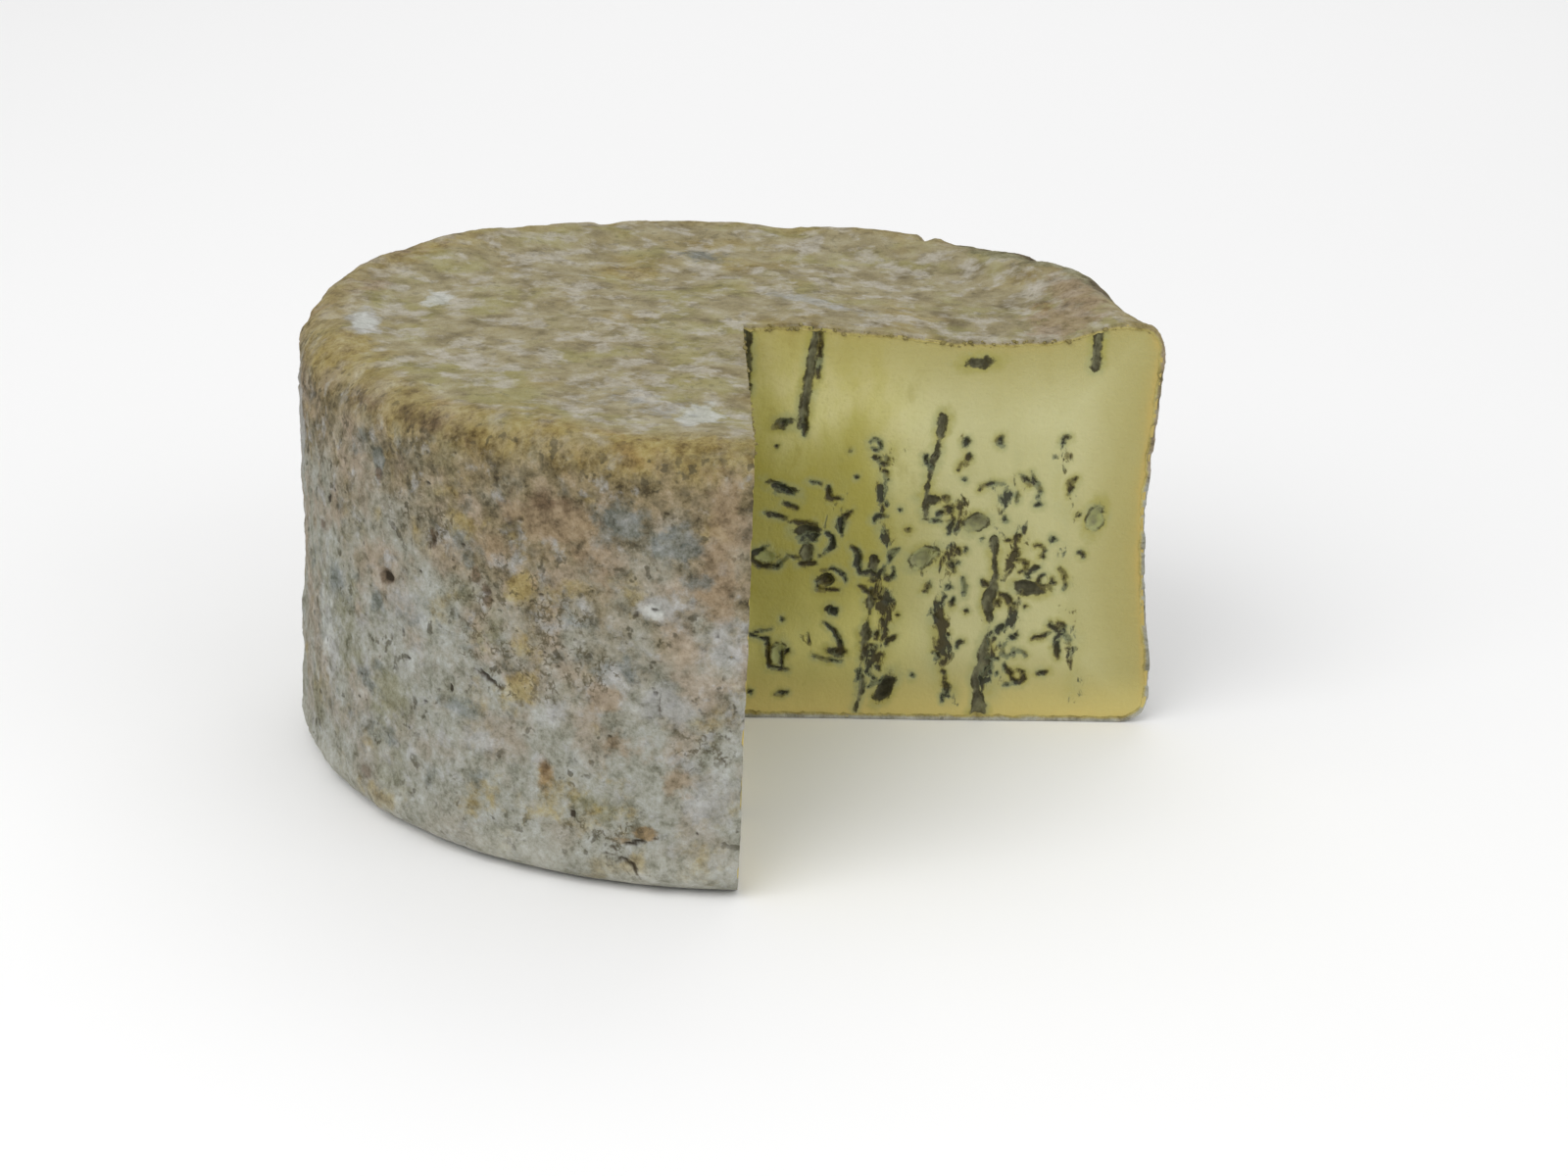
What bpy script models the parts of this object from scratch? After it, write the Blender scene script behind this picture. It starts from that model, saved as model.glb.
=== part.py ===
"""A blue cheese wheel with a quarter cut out of it, as one solid.

Metres, +Z up. The wheel is turned from a profile, then aged: it is a little out of round, its side
has a waist, its top sags inside a raised rim, and its rind is lumpy and pitted. A knife takes out one
quarter, and the two cut faces show needle channels and mouldy hollows as recesses.
"""

import math
import random

import bmesh
import bpy
from mathutils import Matrix, Vector, noise

# Driving dimensions
WHEEL_RADIUS = 0.140
WHEEL_HEIGHT = 0.136
TOP_EDGE_RADIUS = 0.010
BOTTOM_EDGE_RADIUS = 0.010

# How the profile is divided
TURN_STEPS = 108
EDGE_STEPS = 4
SIDE_STEPS = 13
TOP_RINGS = 9
BASE_RINGS = 3
EXACT_MERGE = 0.00005
SHARP_ANGLE = math.radians(40)

# Where the turning axis stands, so that the out-of-round wheel is centred over the origin
AXIS = Vector((0.0024, 0.0020, 0.0))

# How far the wheel is from a true cylinder: shares of the radius, by number of lobes round the wheel
OUT_OF_ROUND = {1: (-0.0165, -0.0068), 2: (-0.0073, 0.0004), 3: (-0.0023, 0.0068)}
WAIST_DEPTH = 0.0006
WAIST_EXTRA = 0.0034
WAIST_EXTRA_TOWARDS = math.radians(-10)
WAIST_FLARE = 0.2
SIDE_TAPER = 0.0012
TOP_SAG = 0.0032
TOP_SAG_WIDTH = 0.040
TOP_SAG_RADIUS = 0.080
RIM_RIDGE = 0.0010
RIM_RIDGE_EXTRA = 0.0046
RIM_RIDGE_TOWARDS = math.radians(12)
RIM_RIDGE_NARROWNESS = 7
RIM_RIDGE_RADIUS = 0.124
RIM_RIDGE_WIDTH = 0.013
# Stretches of the top edge that stand up or are worn: (direction in degrees, narrowness, rise, width)
EDGE_STRETCHES = (
    (200, 16, -0.0040, 0.018),
    (144, 10, 0.0040, 0.020),
    (34, 24, 0.0018, 0.026),
    (13, 190, -0.0080, 0.013),
    (0, 200, 0.0040, 0.006),
)
TOP_LEAN = -0.012

# Where the ageing acts: shares of the radius and of the height, and a multiple of the edge radius
RIM_ZONE_START = 0.90
TOP_ZONE_START = 0.55
BASE_ZONE = 1.5

# Lumps of the rind: (size of a lump, height of a lump)
LUMPS = ((0.045, 0.0013), (0.018, 0.0008))
RIM_BUMP_SIZE = 0.022
RIM_BUMP_HEIGHT = 0.0016
RIM_BUMP_SEED = 3.7

# Pits of the side that stand out: (direction in degrees, z, half width, half height, tilt in degrees)
PLACED_PITS = (
    (-139.2, 0.0813, 0.0031, 0.0020, 0),
    (-127.8, 0.0534, 0.0012, 0.0013, 0),
    (-110.2, 0.0232, 0.0013, 0.0012, 0),
    (-122.1, 0.0595, 0.0046, 0.0012, -22),
    (-102.6, 0.0168, 0.0046, 0.0013, 22),
    (-103.0, 0.0098, 0.0042, 0.0012, -36),
)
# The others come from a draw: their number, and the ranges of direction in degrees, height and size
PIT_COUNT = 18
PIT_SEED = 11
PIT_DIRECTIONS = (8, 212)
PIT_HEIGHTS = (0.015, 0.116)
PIT_SIZES = (0.0012, 0.0024)
PIT_STRETCH = (1.0, 2.2)
PIT_DEPTH = 0.7

# The missing quarter: from the apex towards +X and towards -Y
APEX = AXIS + Vector((0.0, -0.0002, 0.0))
CUTTER_REACH = 0.200
CUTTER_OVERSHOOT = 0.020
CUTTER_DIVISIONS = 13
KNIFE_SWING = 0.0017
KNIFE_LEAN = 0.0027
KNIFE_WAVER = 0.0005
KNIFE_WAVER_SIZE = 0.050

# Recesses in the cut faces
CHANNEL_RADIUS = 0.0018
CHANNEL_SIDES = 7
CHANNEL_TAPER = 0.7
RECESS_SINK = 0.0004
RECESS_OVERSHOOT = 0.012
PAST_TOP = WHEEL_HEIGHT + RECESS_OVERSHOOT
PAST_BASE = -RECESS_OVERSHOOT
BUBBLE_LUMPINESS = 0.25
BUBBLE_LUMP_SIZE = 0.75

# Needle channels that stand out: (along at the top, along at the foot, z at the top, z at the foot)
PLACED_CHANNELS = {
    "right": (
        (0.0014, 0.0014, PAST_TOP, 0.113),
        (0.0255, 0.0198, PAST_TOP, 0.1025),
        (0.1155, 0.1139, PAST_TOP, 0.1235),
    ),
    "left": ((0.0520, 0.0480, PAST_TOP, 0.098), (0.0960, 0.0985, PAST_TOP, 0.111)),
}
# Mouldy hollows that stand out: (along, z, half length, half width, tilt in degrees)
PLACED_HOLLOWS = {
    "right": (
        (0.0139, 0.1028, 0.0028, 0.0017, 12),
        (0.0765, 0.1240, 0.0044, 0.0018, 5),
        (0.0138, 0.0805, 0.0044, 0.0014, -22),
        (0.0222, 0.0660, 0.0042, 0.0026, 0),
        (0.0335, 0.0690, 0.0030, 0.0014, 70),
        (0.0226, 0.0585, 0.0034, 0.0024, 80),
        (0.0085, 0.0570, 0.0045, 0.0024, 0),
        (0.0293, 0.0492, 0.0030, 0.0022, 0),
        (0.0306, 0.0384, 0.0017, 0.0017, 0),
        (0.0326, 0.0236, 0.0024, 0.0015, -10),
        (0.0135, 0.0228, 0.0040, 0.0026, 80),
    ),
    "left": (),
}
# The others come from a draw: where, how many and how large
FACE_SEEDS = {"right": 5, "left": 8}
HOLLOW_COUNTS = {"right": 17, "left": 13}
HOLLOW_ALONG = (0.010, 0.118)
HOLLOW_SIZES = (0.0026, 0.0056)
HOLLOW_SLIMNESS = (0.4, 0.7)
HOLLOW_SPACING = 0.0145
VEINED_HEIGHT = 0.088
VEINED_FOOT = 0.006
VEINED_SPREAD = (1.6, 1.4)
NEEDLE_COUNT = 5
NEEDLE_SPACING = 0.021
NEEDLE_SCATTER = 0.003
NEEDLE_DRIFT = (-0.005, 0.004)
UPPER_TOP = (0.098, 0.114)
UPPER_FOOT = (0.066, 0.090)
LOWER_TOP = (0.040, 0.066)

# Colours and finish
RIND_COLOUR = (0.42, 0.38, 0.29, 1.0)
RIND_ROUGHNESS = 0.85


def clear_scene():
    for old in list(bpy.data.objects):
        bpy.data.objects.remove(old, do_unlink=True)


def new_collection(name):
    collection = bpy.data.collections.new(name)
    bpy.context.scene.collection.children.link(collection)
    return collection


def quarter_arc(centre_r, centre_z, radius, start_degrees):
    """Points of a quarter circle that runs clockwise, seen with r to the right and z up."""
    angles = [math.radians(start_degrees - 90 * step / EDGE_STEPS) for step in range(EDGE_STEPS + 1)]
    return [(centre_r + radius * math.cos(a), centre_z + radius * math.sin(a)) for a in angles]


def wheel_profile():
    """(r, z) from the middle of the top, over the rim and down the side, to the middle of the base."""
    top_r = WHEEL_RADIUS - TOP_EDGE_RADIUS
    base_r = WHEEL_RADIUS - BOTTOM_EDGE_RADIUS
    points = [(top_r * ring / TOP_RINGS, WHEEL_HEIGHT) for ring in range(TOP_RINGS)]
    points += quarter_arc(top_r, WHEEL_HEIGHT - TOP_EDGE_RADIUS, TOP_EDGE_RADIUS, 90)
    side_top = WHEEL_HEIGHT - TOP_EDGE_RADIUS
    side_height = side_top - BOTTOM_EDGE_RADIUS
    points += [(WHEEL_RADIUS, side_top - side_height * step / SIDE_STEPS) for step in range(1, SIDE_STEPS)]
    points += quarter_arc(base_r, BOTTOM_EDGE_RADIUS, BOTTOM_EDGE_RADIUS, 0)
    points += [(base_r * ring / BASE_RINGS, 0.0) for ring in range(BASE_RINGS - 1, -1, -1)]
    return points


def turned(name, profile, steps, collection):
    """The mesh object that the profile sweeps in one full turn about Z."""
    mesh = bpy.data.meshes.new(name)
    edges = [(i, i + 1) for i in range(len(profile) - 1)]
    mesh.from_pydata([(r, 0.0, z) for r, z in profile], edges, [])
    obj = bpy.data.objects.new(name, mesh)
    collection.objects.link(obj)
    screw = obj.modifiers.new("turn", "SCREW")
    screw.angle = math.tau
    screw.steps = steps
    screw.render_steps = steps
    screw.use_merge_vertices = True
    screw.merge_threshold = EXACT_MERGE
    settle(obj)
    return obj


def settle(obj):
    """Replaces the object's mesh by what its modifiers make of it."""
    bpy.context.view_layer.update()
    graph = bpy.context.evaluated_depsgraph_get()
    made = bpy.data.meshes.new_from_object(obj.evaluated_get(graph))
    obj.modifiers.clear()
    old = obj.data
    obj.data = made
    bpy.data.meshes.remove(old)


def bell(x, centre, width):
    return math.exp(-(((x - centre) / width) ** 2))


def towards(theta, direction):
    """1 on that side of the wheel, 0 on the far side."""
    return 0.5 + 0.5 * math.cos(theta - direction)


def smoothstep(low, high, x):
    t = min(1.0, max(0.0, (x - low) / (high - low)))
    return t * t * (3 - 2 * t)


def plan_scale(theta):
    """The out-of-round wheel's radius at this angle, as a share of the true radius."""
    return 1 + sum(a * math.cos(n * theta) + b * math.sin(n * theta) for n, (a, b) in OUT_OF_ROUND.items())


def lump(point):
    """Height of the rind's lumps at a point."""
    return sum(height * noise.noise(point / size) for size, height in LUMPS)


def side_offset(theta, z):
    """How far the side stands out from the cylinder: it widens downwards and is drawn in at the waist."""
    depth = WAIST_DEPTH + WAIST_EXTRA * towards(theta, WAIST_EXTRA_TOWARDS) ** 2
    waist = depth * (WAIST_FLARE - math.sin(math.pi * z / WHEEL_HEIGHT) ** 2)
    return waist + SIDE_TAPER * (1 - 2 * z / WHEEL_HEIGHT)


def top_offset(theta, r):
    """How far the top stands above the flat disc: a sag inside a raised rim, worn in places."""
    ridge = RIM_RIDGE + RIM_RIDGE_EXTRA * towards(theta, RIM_RIDGE_TOWARDS) ** RIM_RIDGE_NARROWNESS
    around = Vector((r * math.cos(theta), r * math.sin(theta), 0.0)) / RIM_BUMP_SIZE
    bumps = RIM_BUMP_HEIGHT * noise.noise(around + Vector((0.0, 0.0, RIM_BUMP_SEED)))
    stretches = sum(
        rise * towards(theta, math.radians(direction)) ** narrowness * bell(r, WHEEL_RADIUS, width)
        for direction, narrowness, rise, width in EDGE_STRETCHES
    )
    sag = TOP_SAG * bell(r, TOP_SAG_RADIUS, TOP_SAG_WIDTH) * towards(theta, 0)
    raised = (ridge + bumps) * bell(r, RIM_RIDGE_RADIUS, RIM_RIDGE_WIDTH)
    return raised - sag + stretches + TOP_LEAN * r * math.cos(theta)


def aged(point):
    """Where a point of the true cylinder, turned about Z, lies on the aged wheel."""
    r = math.hypot(point.x, point.y)
    if r < EXACT_MERGE:
        return AXIS + Vector((0.0, 0.0, point.z))
    theta = math.atan2(point.y, point.x)
    out = Vector((point.x / r, point.y / r, 0.0))
    rimward = smoothstep(WHEEL_RADIUS * RIM_ZONE_START, WHEEL_RADIUS, r)
    upward = smoothstep(WHEEL_HEIGHT * TOP_ZONE_START, WHEEL_HEIGHT, point.z)
    clear_of_base = smoothstep(0.0, BOTTOM_EDGE_RADIUS * BASE_ZONE, point.z)
    height = lump(point)
    new_r = r * plan_scale(theta) + rimward * (side_offset(theta, point.z) + height * clear_of_base)
    rise = upward * (top_offset(theta, r) + height * (1 - rimward))
    return AXIS + out * new_r + Vector((0.0, 0.0, point.z + rise))


def age_mesh(obj):
    for vertex in obj.data.vertices:
        vertex.co = aged(vertex.co)


def notch_cutter(collection):
    """The knife's block: it reaches past the rim, the top and the base, and its two inner faces waver."""
    tall = WHEEL_HEIGHT + 2 * CUTTER_OVERSHOOT
    block = bmesh.new()
    bmesh.ops.create_cube(block, size=1.0)
    bmesh.ops.subdivide_edges(block, edges=block.edges[:], cuts=CUTTER_DIVISIONS - 1, use_grid_fill=True)
    corner = Vector((APEX.x, APEX.y - CUTTER_REACH, -CUTTER_OVERSHOOT))
    for vertex in block.verts:
        share = vertex.co + Vector((0.5, 0.5, 0.5))
        place = corner + Vector((share.x * CUTTER_REACH, share.y * CUTTER_REACH, share.z * tall))
        vertex.co = place + knife_drift(place)
    mesh = bpy.data.meshes.new("notch_cutter")
    block.to_mesh(mesh)
    block.free()
    return helper("notch_cutter", mesh, collection)


def left_face_shift(along, z):
    """How far the cut face towards -Y lies from the plane of the apex: it swings out and leans."""
    return along / WHEEL_RADIUS * (KNIFE_SWING - KNIFE_LEAN * (1 - z / WHEEL_HEIGHT))


def knife_drift(place):
    """The cut faces aren't true planes: both waver a little, and the left one swings and leans."""
    waver = KNIFE_WAVER * noise.noise(place / KNIFE_WAVER_SIZE)
    drift = Vector((0.0, 0.0, 0.0))
    if abs(place.x - APEX.x) < EXACT_MERGE:
        drift.x = waver + left_face_shift(APEX.y - place.y, place.z)
    if abs(place.y - APEX.y) < EXACT_MERGE:
        drift.y = waver
    return drift


def helper(name, mesh, collection):
    """A cutter: it is left out of the render and drawn as a wire."""
    obj = bpy.data.objects.new(name, mesh)
    obj.hide_render = True
    obj.display_type = "WIRE"
    collection.objects.link(obj)
    return obj


def face_place(face, along, z):
    """A point just behind a cut face: along it from the apex, at a height."""
    if face == "right":
        return Vector((APEX.x + along, APEX.y + RECESS_SINK, z))
    return Vector((APEX.x - RECESS_SINK + left_face_shift(along, z), APEX.y - along, z))


def needle_channels(face):
    """(along at the top, along at the foot, z at the top, z at the foot) of each needle's hole."""
    draw = random.Random(FACE_SEEDS[face])
    channels = list(PLACED_CHANNELS[face])
    for number in range(1, NEEDLE_COUNT + 1):
        along = number * NEEDLE_SPACING + draw.uniform(-NEEDLE_SCATTER, NEEDLE_SCATTER)
        drift = draw.uniform(*NEEDLE_DRIFT)
        upper = (draw.uniform(*UPPER_TOP), draw.uniform(*UPPER_FOOT))
        lower_top = draw.uniform(*LOWER_TOP)
        if any(abs(along - other[0]) < NEEDLE_SPACING / 2 for other in channels):
            continue
        if number % 2:
            channels.append((along, along + drift, *upper))
        else:
            channels.append((along, along + drift, lower_top, PAST_BASE))
    return channels


def hollows(face):
    """(along, z, half length, half width, tilt) of each mouldy hollow, thickest below mid-height."""
    draw = random.Random(FACE_SEEDS[face])
    made = list(PLACED_HOLLOWS[face])
    while len(made) < HOLLOW_COUNTS[face]:
        along = draw.uniform(*HOLLOW_ALONG)
        z = VEINED_FOOT + VEINED_HEIGHT * draw.betavariate(*VEINED_SPREAD)
        length = draw.uniform(*HOLLOW_SIZES)
        width = length * draw.uniform(*HOLLOW_SLIMNESS)
        tilt = draw.uniform(0, 180)
        if all(math.hypot(along - other[0], z - other[1]) > HOLLOW_SPACING for other in made):
            made.append((along, z, length, width, tilt))
    return made


def tube_mesh(name, start, end, radius):
    """A closed many-sided rod from start to end."""
    along = end - start
    rod = bmesh.new()
    turn = along.to_track_quat("Z", "X").to_matrix().to_4x4()
    bmesh.ops.create_cone(
        rod,
        cap_ends=True,
        segments=CHANNEL_SIDES,
        radius1=radius * CHANNEL_TAPER,
        radius2=radius,
        depth=along.length,
        matrix=Matrix.Translation((start + end) / 2) @ turn,
    )
    mesh = bpy.data.meshes.new(name)
    rod.to_mesh(mesh)
    rod.free()
    return mesh


def bubble_mesh(name, place, half_sizes, turn):
    """A closed lumpy ball, stretched and turned."""
    ball = bmesh.new()
    bmesh.ops.create_icosphere(ball, subdivisions=2, radius=1.0)
    apart = place / max(half_sizes)
    for vertex in ball.verts:
        vertex.co *= 1 + BUBBLE_LUMPINESS * noise.noise((vertex.co + apart) / BUBBLE_LUMP_SIZE)
    shape = Matrix.Translation(place) @ turn @ Matrix.Diagonal((*half_sizes, 1.0))
    bmesh.ops.transform(ball, matrix=shape, verts=ball.verts[:])
    mesh = bpy.data.meshes.new(name)
    ball.to_mesh(mesh)
    ball.free()
    return mesh


def face_cutters(face, collection):
    """Rods and bubbles that stand half out of a cut face."""
    for number, (top_along, foot_along, top, foot) in enumerate(needle_channels(face)):
        start = face_place(face, foot_along, foot)
        end = face_place(face, top_along, top)
        name = f"channel_cutter_{face}_{number}"
        helper(name, tube_mesh(name, start, end, CHANNEL_RADIUS), collection)
    for number, (along, z, length, width, tilt) in enumerate(hollows(face)):
        place = face_place(face, along, z)
        name = f"hollow_cutter_{face}_{number}"
        if face == "right":
            sizes = (length, width, width)
            turn = Matrix.Rotation(-math.radians(tilt), 4, "Y")
        else:
            sizes = (width, length, width)
            turn = Matrix.Rotation(-math.radians(tilt), 4, "X")
        helper(name, bubble_mesh(name, place, sizes, turn), collection)


def side_pits():
    """(direction, z, half width, half height, tilt) of each pit in the side, round the whole wheel."""
    draw = random.Random(PIT_SEED)
    pits = list(PLACED_PITS)
    for _ in range(PIT_COUNT):
        direction = draw.uniform(*PIT_DIRECTIONS)
        z = draw.uniform(*PIT_HEIGHTS)
        size = draw.uniform(*PIT_SIZES)
        pits.append((direction, z, size * draw.uniform(*PIT_STRETCH), size, draw.uniform(0, 180)))
    return pits


def pit_cutters(collection):
    for number, (direction, z, half_width, half_height, tilt) in enumerate(side_pits()):
        theta = math.radians(direction)
        surface = aged(Vector((WHEEL_RADIUS * math.cos(theta), WHEEL_RADIUS * math.sin(theta), z)))
        sizes = (min(half_width, half_height) * PIT_DEPTH, half_width, half_height)
        turn = Matrix.Rotation(theta, 4, "Z") @ Matrix.Rotation(math.radians(tilt), 4, "X")
        name = f"pit_cutter_{number}"
        helper(name, bubble_mesh(name, surface, sizes, turn), collection)


def cut(obj, operand):
    """Takes a cutter, or all the cutters of a collection, out of the object."""
    boolean = obj.modifiers.new("cut", "BOOLEAN")
    boolean.operation = "DIFFERENCE"
    boolean.solver = "EXACT"
    if isinstance(operand, bpy.types.Collection):
        boolean.operand_type = "COLLECTION"
        boolean.collection = operand
    else:
        boolean.object = operand
    settle(obj)


def rind_material():
    material = bpy.data.materials.new("natural_rind")
    material.use_nodes = True
    shader = material.node_tree.nodes["Principled BSDF"]
    shader.inputs["Base Color"].default_value = RIND_COLOUR
    shader.inputs["Roughness"].default_value = RIND_ROUGHNESS
    shader.inputs["Metallic"].default_value = 0.0
    return material


def main():
    clear_scene()
    cheese = new_collection("cheese_wheel_parts")
    knives = new_collection("cutters")
    recesses = new_collection("recess_cutters")
    wheel = turned("cheese_wheel", wheel_profile(), TURN_STEPS, cheese)
    age_mesh(wheel)
    cut(wheel, notch_cutter(knives))
    for face in FACE_SEEDS:
        face_cutters(face, recesses)
    pit_cutters(recesses)
    cut(wheel, recesses)
    wheel.data.materials.clear()
    wheel.data.materials.append(rind_material())
    wheel.data.shade_smooth()
    wheel.data.set_sharp_from_angle(angle=SHARP_ANGLE)


main()
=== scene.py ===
"""Looks of the blue cheese wheel: its rind and its cut paste, as two closed meshes with node materials.

The form repeats the solid's own rules and sizes, in metres, and adds the fine relief. The wheel stands on
z = 0, the missing quarter lies between +X and -Y, and the camera looks along +Y.
"""

import math
import random

import bmesh
import bpy
import numpy as np
from mathutils import Matrix, Vector, noise

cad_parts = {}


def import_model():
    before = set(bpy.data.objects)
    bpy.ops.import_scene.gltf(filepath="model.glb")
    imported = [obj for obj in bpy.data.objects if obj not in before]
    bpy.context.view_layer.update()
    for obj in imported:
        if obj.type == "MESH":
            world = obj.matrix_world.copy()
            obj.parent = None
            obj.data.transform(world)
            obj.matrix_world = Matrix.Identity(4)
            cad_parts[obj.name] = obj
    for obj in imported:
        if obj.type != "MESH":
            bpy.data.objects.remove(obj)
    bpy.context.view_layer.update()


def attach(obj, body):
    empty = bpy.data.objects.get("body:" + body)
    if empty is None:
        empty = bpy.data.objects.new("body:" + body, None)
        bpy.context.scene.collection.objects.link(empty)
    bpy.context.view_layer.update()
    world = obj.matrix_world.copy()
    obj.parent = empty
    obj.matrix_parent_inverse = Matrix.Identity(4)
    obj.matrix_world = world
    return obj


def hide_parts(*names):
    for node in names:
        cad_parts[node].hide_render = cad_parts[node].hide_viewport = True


# The wheel's driving dimensions, as in the solid
WHEEL_RADIUS = 0.140
WHEEL_HEIGHT = 0.136
EDGE_RADIUS = 0.010
AXIS = Vector((0.0024, 0.0020, 0.0))
OUT_OF_ROUND = {1: (-0.0165, -0.0068), 2: (-0.0073, 0.0004), 3: (-0.0023, 0.0068)}
WAIST_DEPTH = 0.0006
WAIST_EXTRA = 0.0034
WAIST_EXTRA_TOWARDS = math.radians(-10)
WAIST_FLARE = 0.2
SIDE_TAPER = 0.0012
TOP_SAG = 0.0032
TOP_SAG_WIDTH = 0.040
TOP_SAG_RADIUS = 0.080
RIM_RIDGE = 0.0010
RIM_RIDGE_EXTRA = 0.0046
RIM_RIDGE_TOWARDS = math.radians(12)
RIM_RIDGE_NARROWNESS = 7
RIM_RIDGE_RADIUS = 0.124
RIM_RIDGE_WIDTH = 0.013
# Stretches of the top edge that stand up or are worn: (direction in degrees, narrowness, rise, width)
EDGE_STRETCHES = (
    (200, 16, -0.0040, 0.018),
    (144, 10, 0.0040, 0.020),
    (34, 24, 0.0018, 0.026),
    (13, 190, -0.0080, 0.013),
    (0, 200, 0.0040, 0.006),
)
TOP_LEAN = -0.012
RIM_ZONE_START = 0.90
TOP_ZONE_START = 0.55
BASE_ZONE = 1.5
LUMPS = ((0.045, 0.0013), (0.018, 0.0008))
RIM_BUMP_SIZE = 0.022
RIM_BUMP_HEIGHT = 0.0016
RIM_BUMP_SEED = 3.7
# The true cylinder's profile: flat radius, lengths of a rounded edge and of the side, and its whole length
FLAT_RADIUS = WHEEL_RADIUS - EDGE_RADIUS
ARC_LENGTH = EDGE_RADIUS * math.pi / 2
SIDE_LENGTH = WHEEL_HEIGHT - 2 * EDGE_RADIUS
PROFILE_LENGTH = 2 * FLAT_RADIUS + 2 * ARC_LENGTH + SIDE_LENGTH

# Pits of the side, as in the solid: (direction in degrees, z, half width, half height, tilt in degrees)
PLACED_PITS = (
    (-139.2, 0.0813, 0.0031, 0.0020, 0),
    (-127.8, 0.0534, 0.0012, 0.0013, 0),
    (-110.2, 0.0232, 0.0013, 0.0012, 0),
    (-122.1, 0.0595, 0.0046, 0.0012, -22),
    (-102.6, 0.0168, 0.0046, 0.0013, 22),
    (-103.0, 0.0098, 0.0042, 0.0012, -36),
)
PIT_COUNT = 18
PIT_SEED = 11
PIT_DIRECTIONS = (8, 212)
PIT_HEIGHTS = (0.015, 0.116)
PIT_SIZES = (0.0012, 0.0024)
PIT_STRETCH = (1.0, 2.2)
PIT_DEPTH = 0.7
# A pit this many times as long as wide is a slot, and is less dark
SLOT_SHAPE = 2.4
SLOT_DARKNESS = 0.62
# How far out a pit is looked for, in half widths
PIT_REACH = 1.6
# Between which shares of its half width a pit's bowl rises, and its dark colour ends
PIT_BOWL = (0.55, 1.25)
PIT_SHADE = (0.45, 1.15)
# Nicks in the top edge: (direction in degrees, half width, depth)
RIM_NICKS = (
    (59.7, 0.0028, 0.0020),
    (111, 0.0042, 0.0011),
    (55, 0.0060, 0.0010),
    (84, 0.0050, 0.0006),
    (38, 0.0036, 0.0012),
    (147, 0.0060, 0.0004),
    (176, 0.0050, 0.0005),
    (208, 0.0034, 0.0008),
    (236, 0.0030, 0.0007),
)

# The missing quarter and the recesses in its two faces, as in the solid
APEX = AXIS + Vector((0.0, -0.0002, 0.0))
KNIFE_SWING = 0.0017
KNIFE_LEAN = 0.0027
KNIFE_WAVER = 0.0005
KNIFE_WAVER_SIZE = 0.050
CHANNEL_RADIUS = 0.0018
PAST_TOP = WHEEL_HEIGHT + 0.012
PAST_BASE = -0.012
PLACED_CHANNELS = {
    "right": (
        (0.0014, 0.0014, PAST_TOP, 0.113),
        (0.0255, 0.0198, PAST_TOP, 0.1025),
        (0.1155, 0.1139, PAST_TOP, 0.1235),
    ),
    "left": ((0.0520, 0.0480, PAST_TOP, 0.098), (0.0960, 0.0985, PAST_TOP, 0.111)),
}
PLACED_HOLLOWS = {
    "right": (
        (0.0139, 0.1028, 0.0028, 0.0017, 12),
        (0.0765, 0.1240, 0.0044, 0.0018, 5),
        (0.0138, 0.0805, 0.0044, 0.0014, -22),
        (0.0222, 0.0660, 0.0042, 0.0026, 0),
        (0.0335, 0.0690, 0.0030, 0.0014, 70),
        (0.0226, 0.0585, 0.0034, 0.0024, 80),
        (0.0085, 0.0570, 0.0045, 0.0024, 0),
        (0.0293, 0.0492, 0.0030, 0.0022, 0),
        (0.0306, 0.0384, 0.0017, 0.0017, 0),
        (0.0326, 0.0236, 0.0024, 0.0015, -10),
        (0.0135, 0.0228, 0.0040, 0.0026, 80),
    ),
    "left": (),
}
# What fills the first hollows of the right face: 0 nothing, painted black as shade in the empty hole, 1
# pale mould
SEEN_FILLS = (0.45, 0.30, 0.20, 0.22, 0.35, 0.55, 0.95, 0.0, 0.05, 0.05, 0.90)
CHANNEL_FILL = 0.42
FACE_SEEDS = {"right": 5, "left": 8}
HOLLOW_COUNTS = {"right": 17, "left": 13}
HOLLOW_ALONG = (0.010, 0.118)
HOLLOW_SIZES = (0.0026, 0.0056)
HOLLOW_SLIMNESS = (0.4, 0.7)
HOLLOW_SPACING = 0.0145
VEINED_HEIGHT = 0.088
VEINED_FOOT = 0.006
VEINED_SPREAD = (1.6, 1.4)
NEEDLE_COUNT = 5
NEEDLE_SPACING = 0.021
NEEDLE_SCATTER = 0.003
NEEDLE_DRIFT = (-0.005, 0.004)
UPPER_TOP = (0.098, 0.114)
UPPER_FOOT = (0.066, 0.090)
LOWER_TOP = (0.040, 0.066)

# The rind is a shell: its thickness where it is cut and elsewhere, and how far in the paste's skin lies
CUT_THICKNESS = 0.0015
DEEP_THICKNESS = 0.0036
CUT_OVERLAP = 0.0007
DEEP_OVERLAP = 0.0012
END_ZONE = math.radians(5)
CUT_PROUD = 0.00012
# Near the middle the sweep turns about the apex: how far out, and the most that a cut may turn it
AT_MIDDLE = 1e-5
APEX_ZONE = 0.02
SHIFT_LIMIT = 0.35
# How ragged the rind is where it is cut: mean thickness, and (height, pace, seed) of two noises
RAGGED_MEAN = 1.3
RAGGED_WAVES = ((0.45, 0.21, 0.0), (0.40, 0.83, 4.0))

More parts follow.
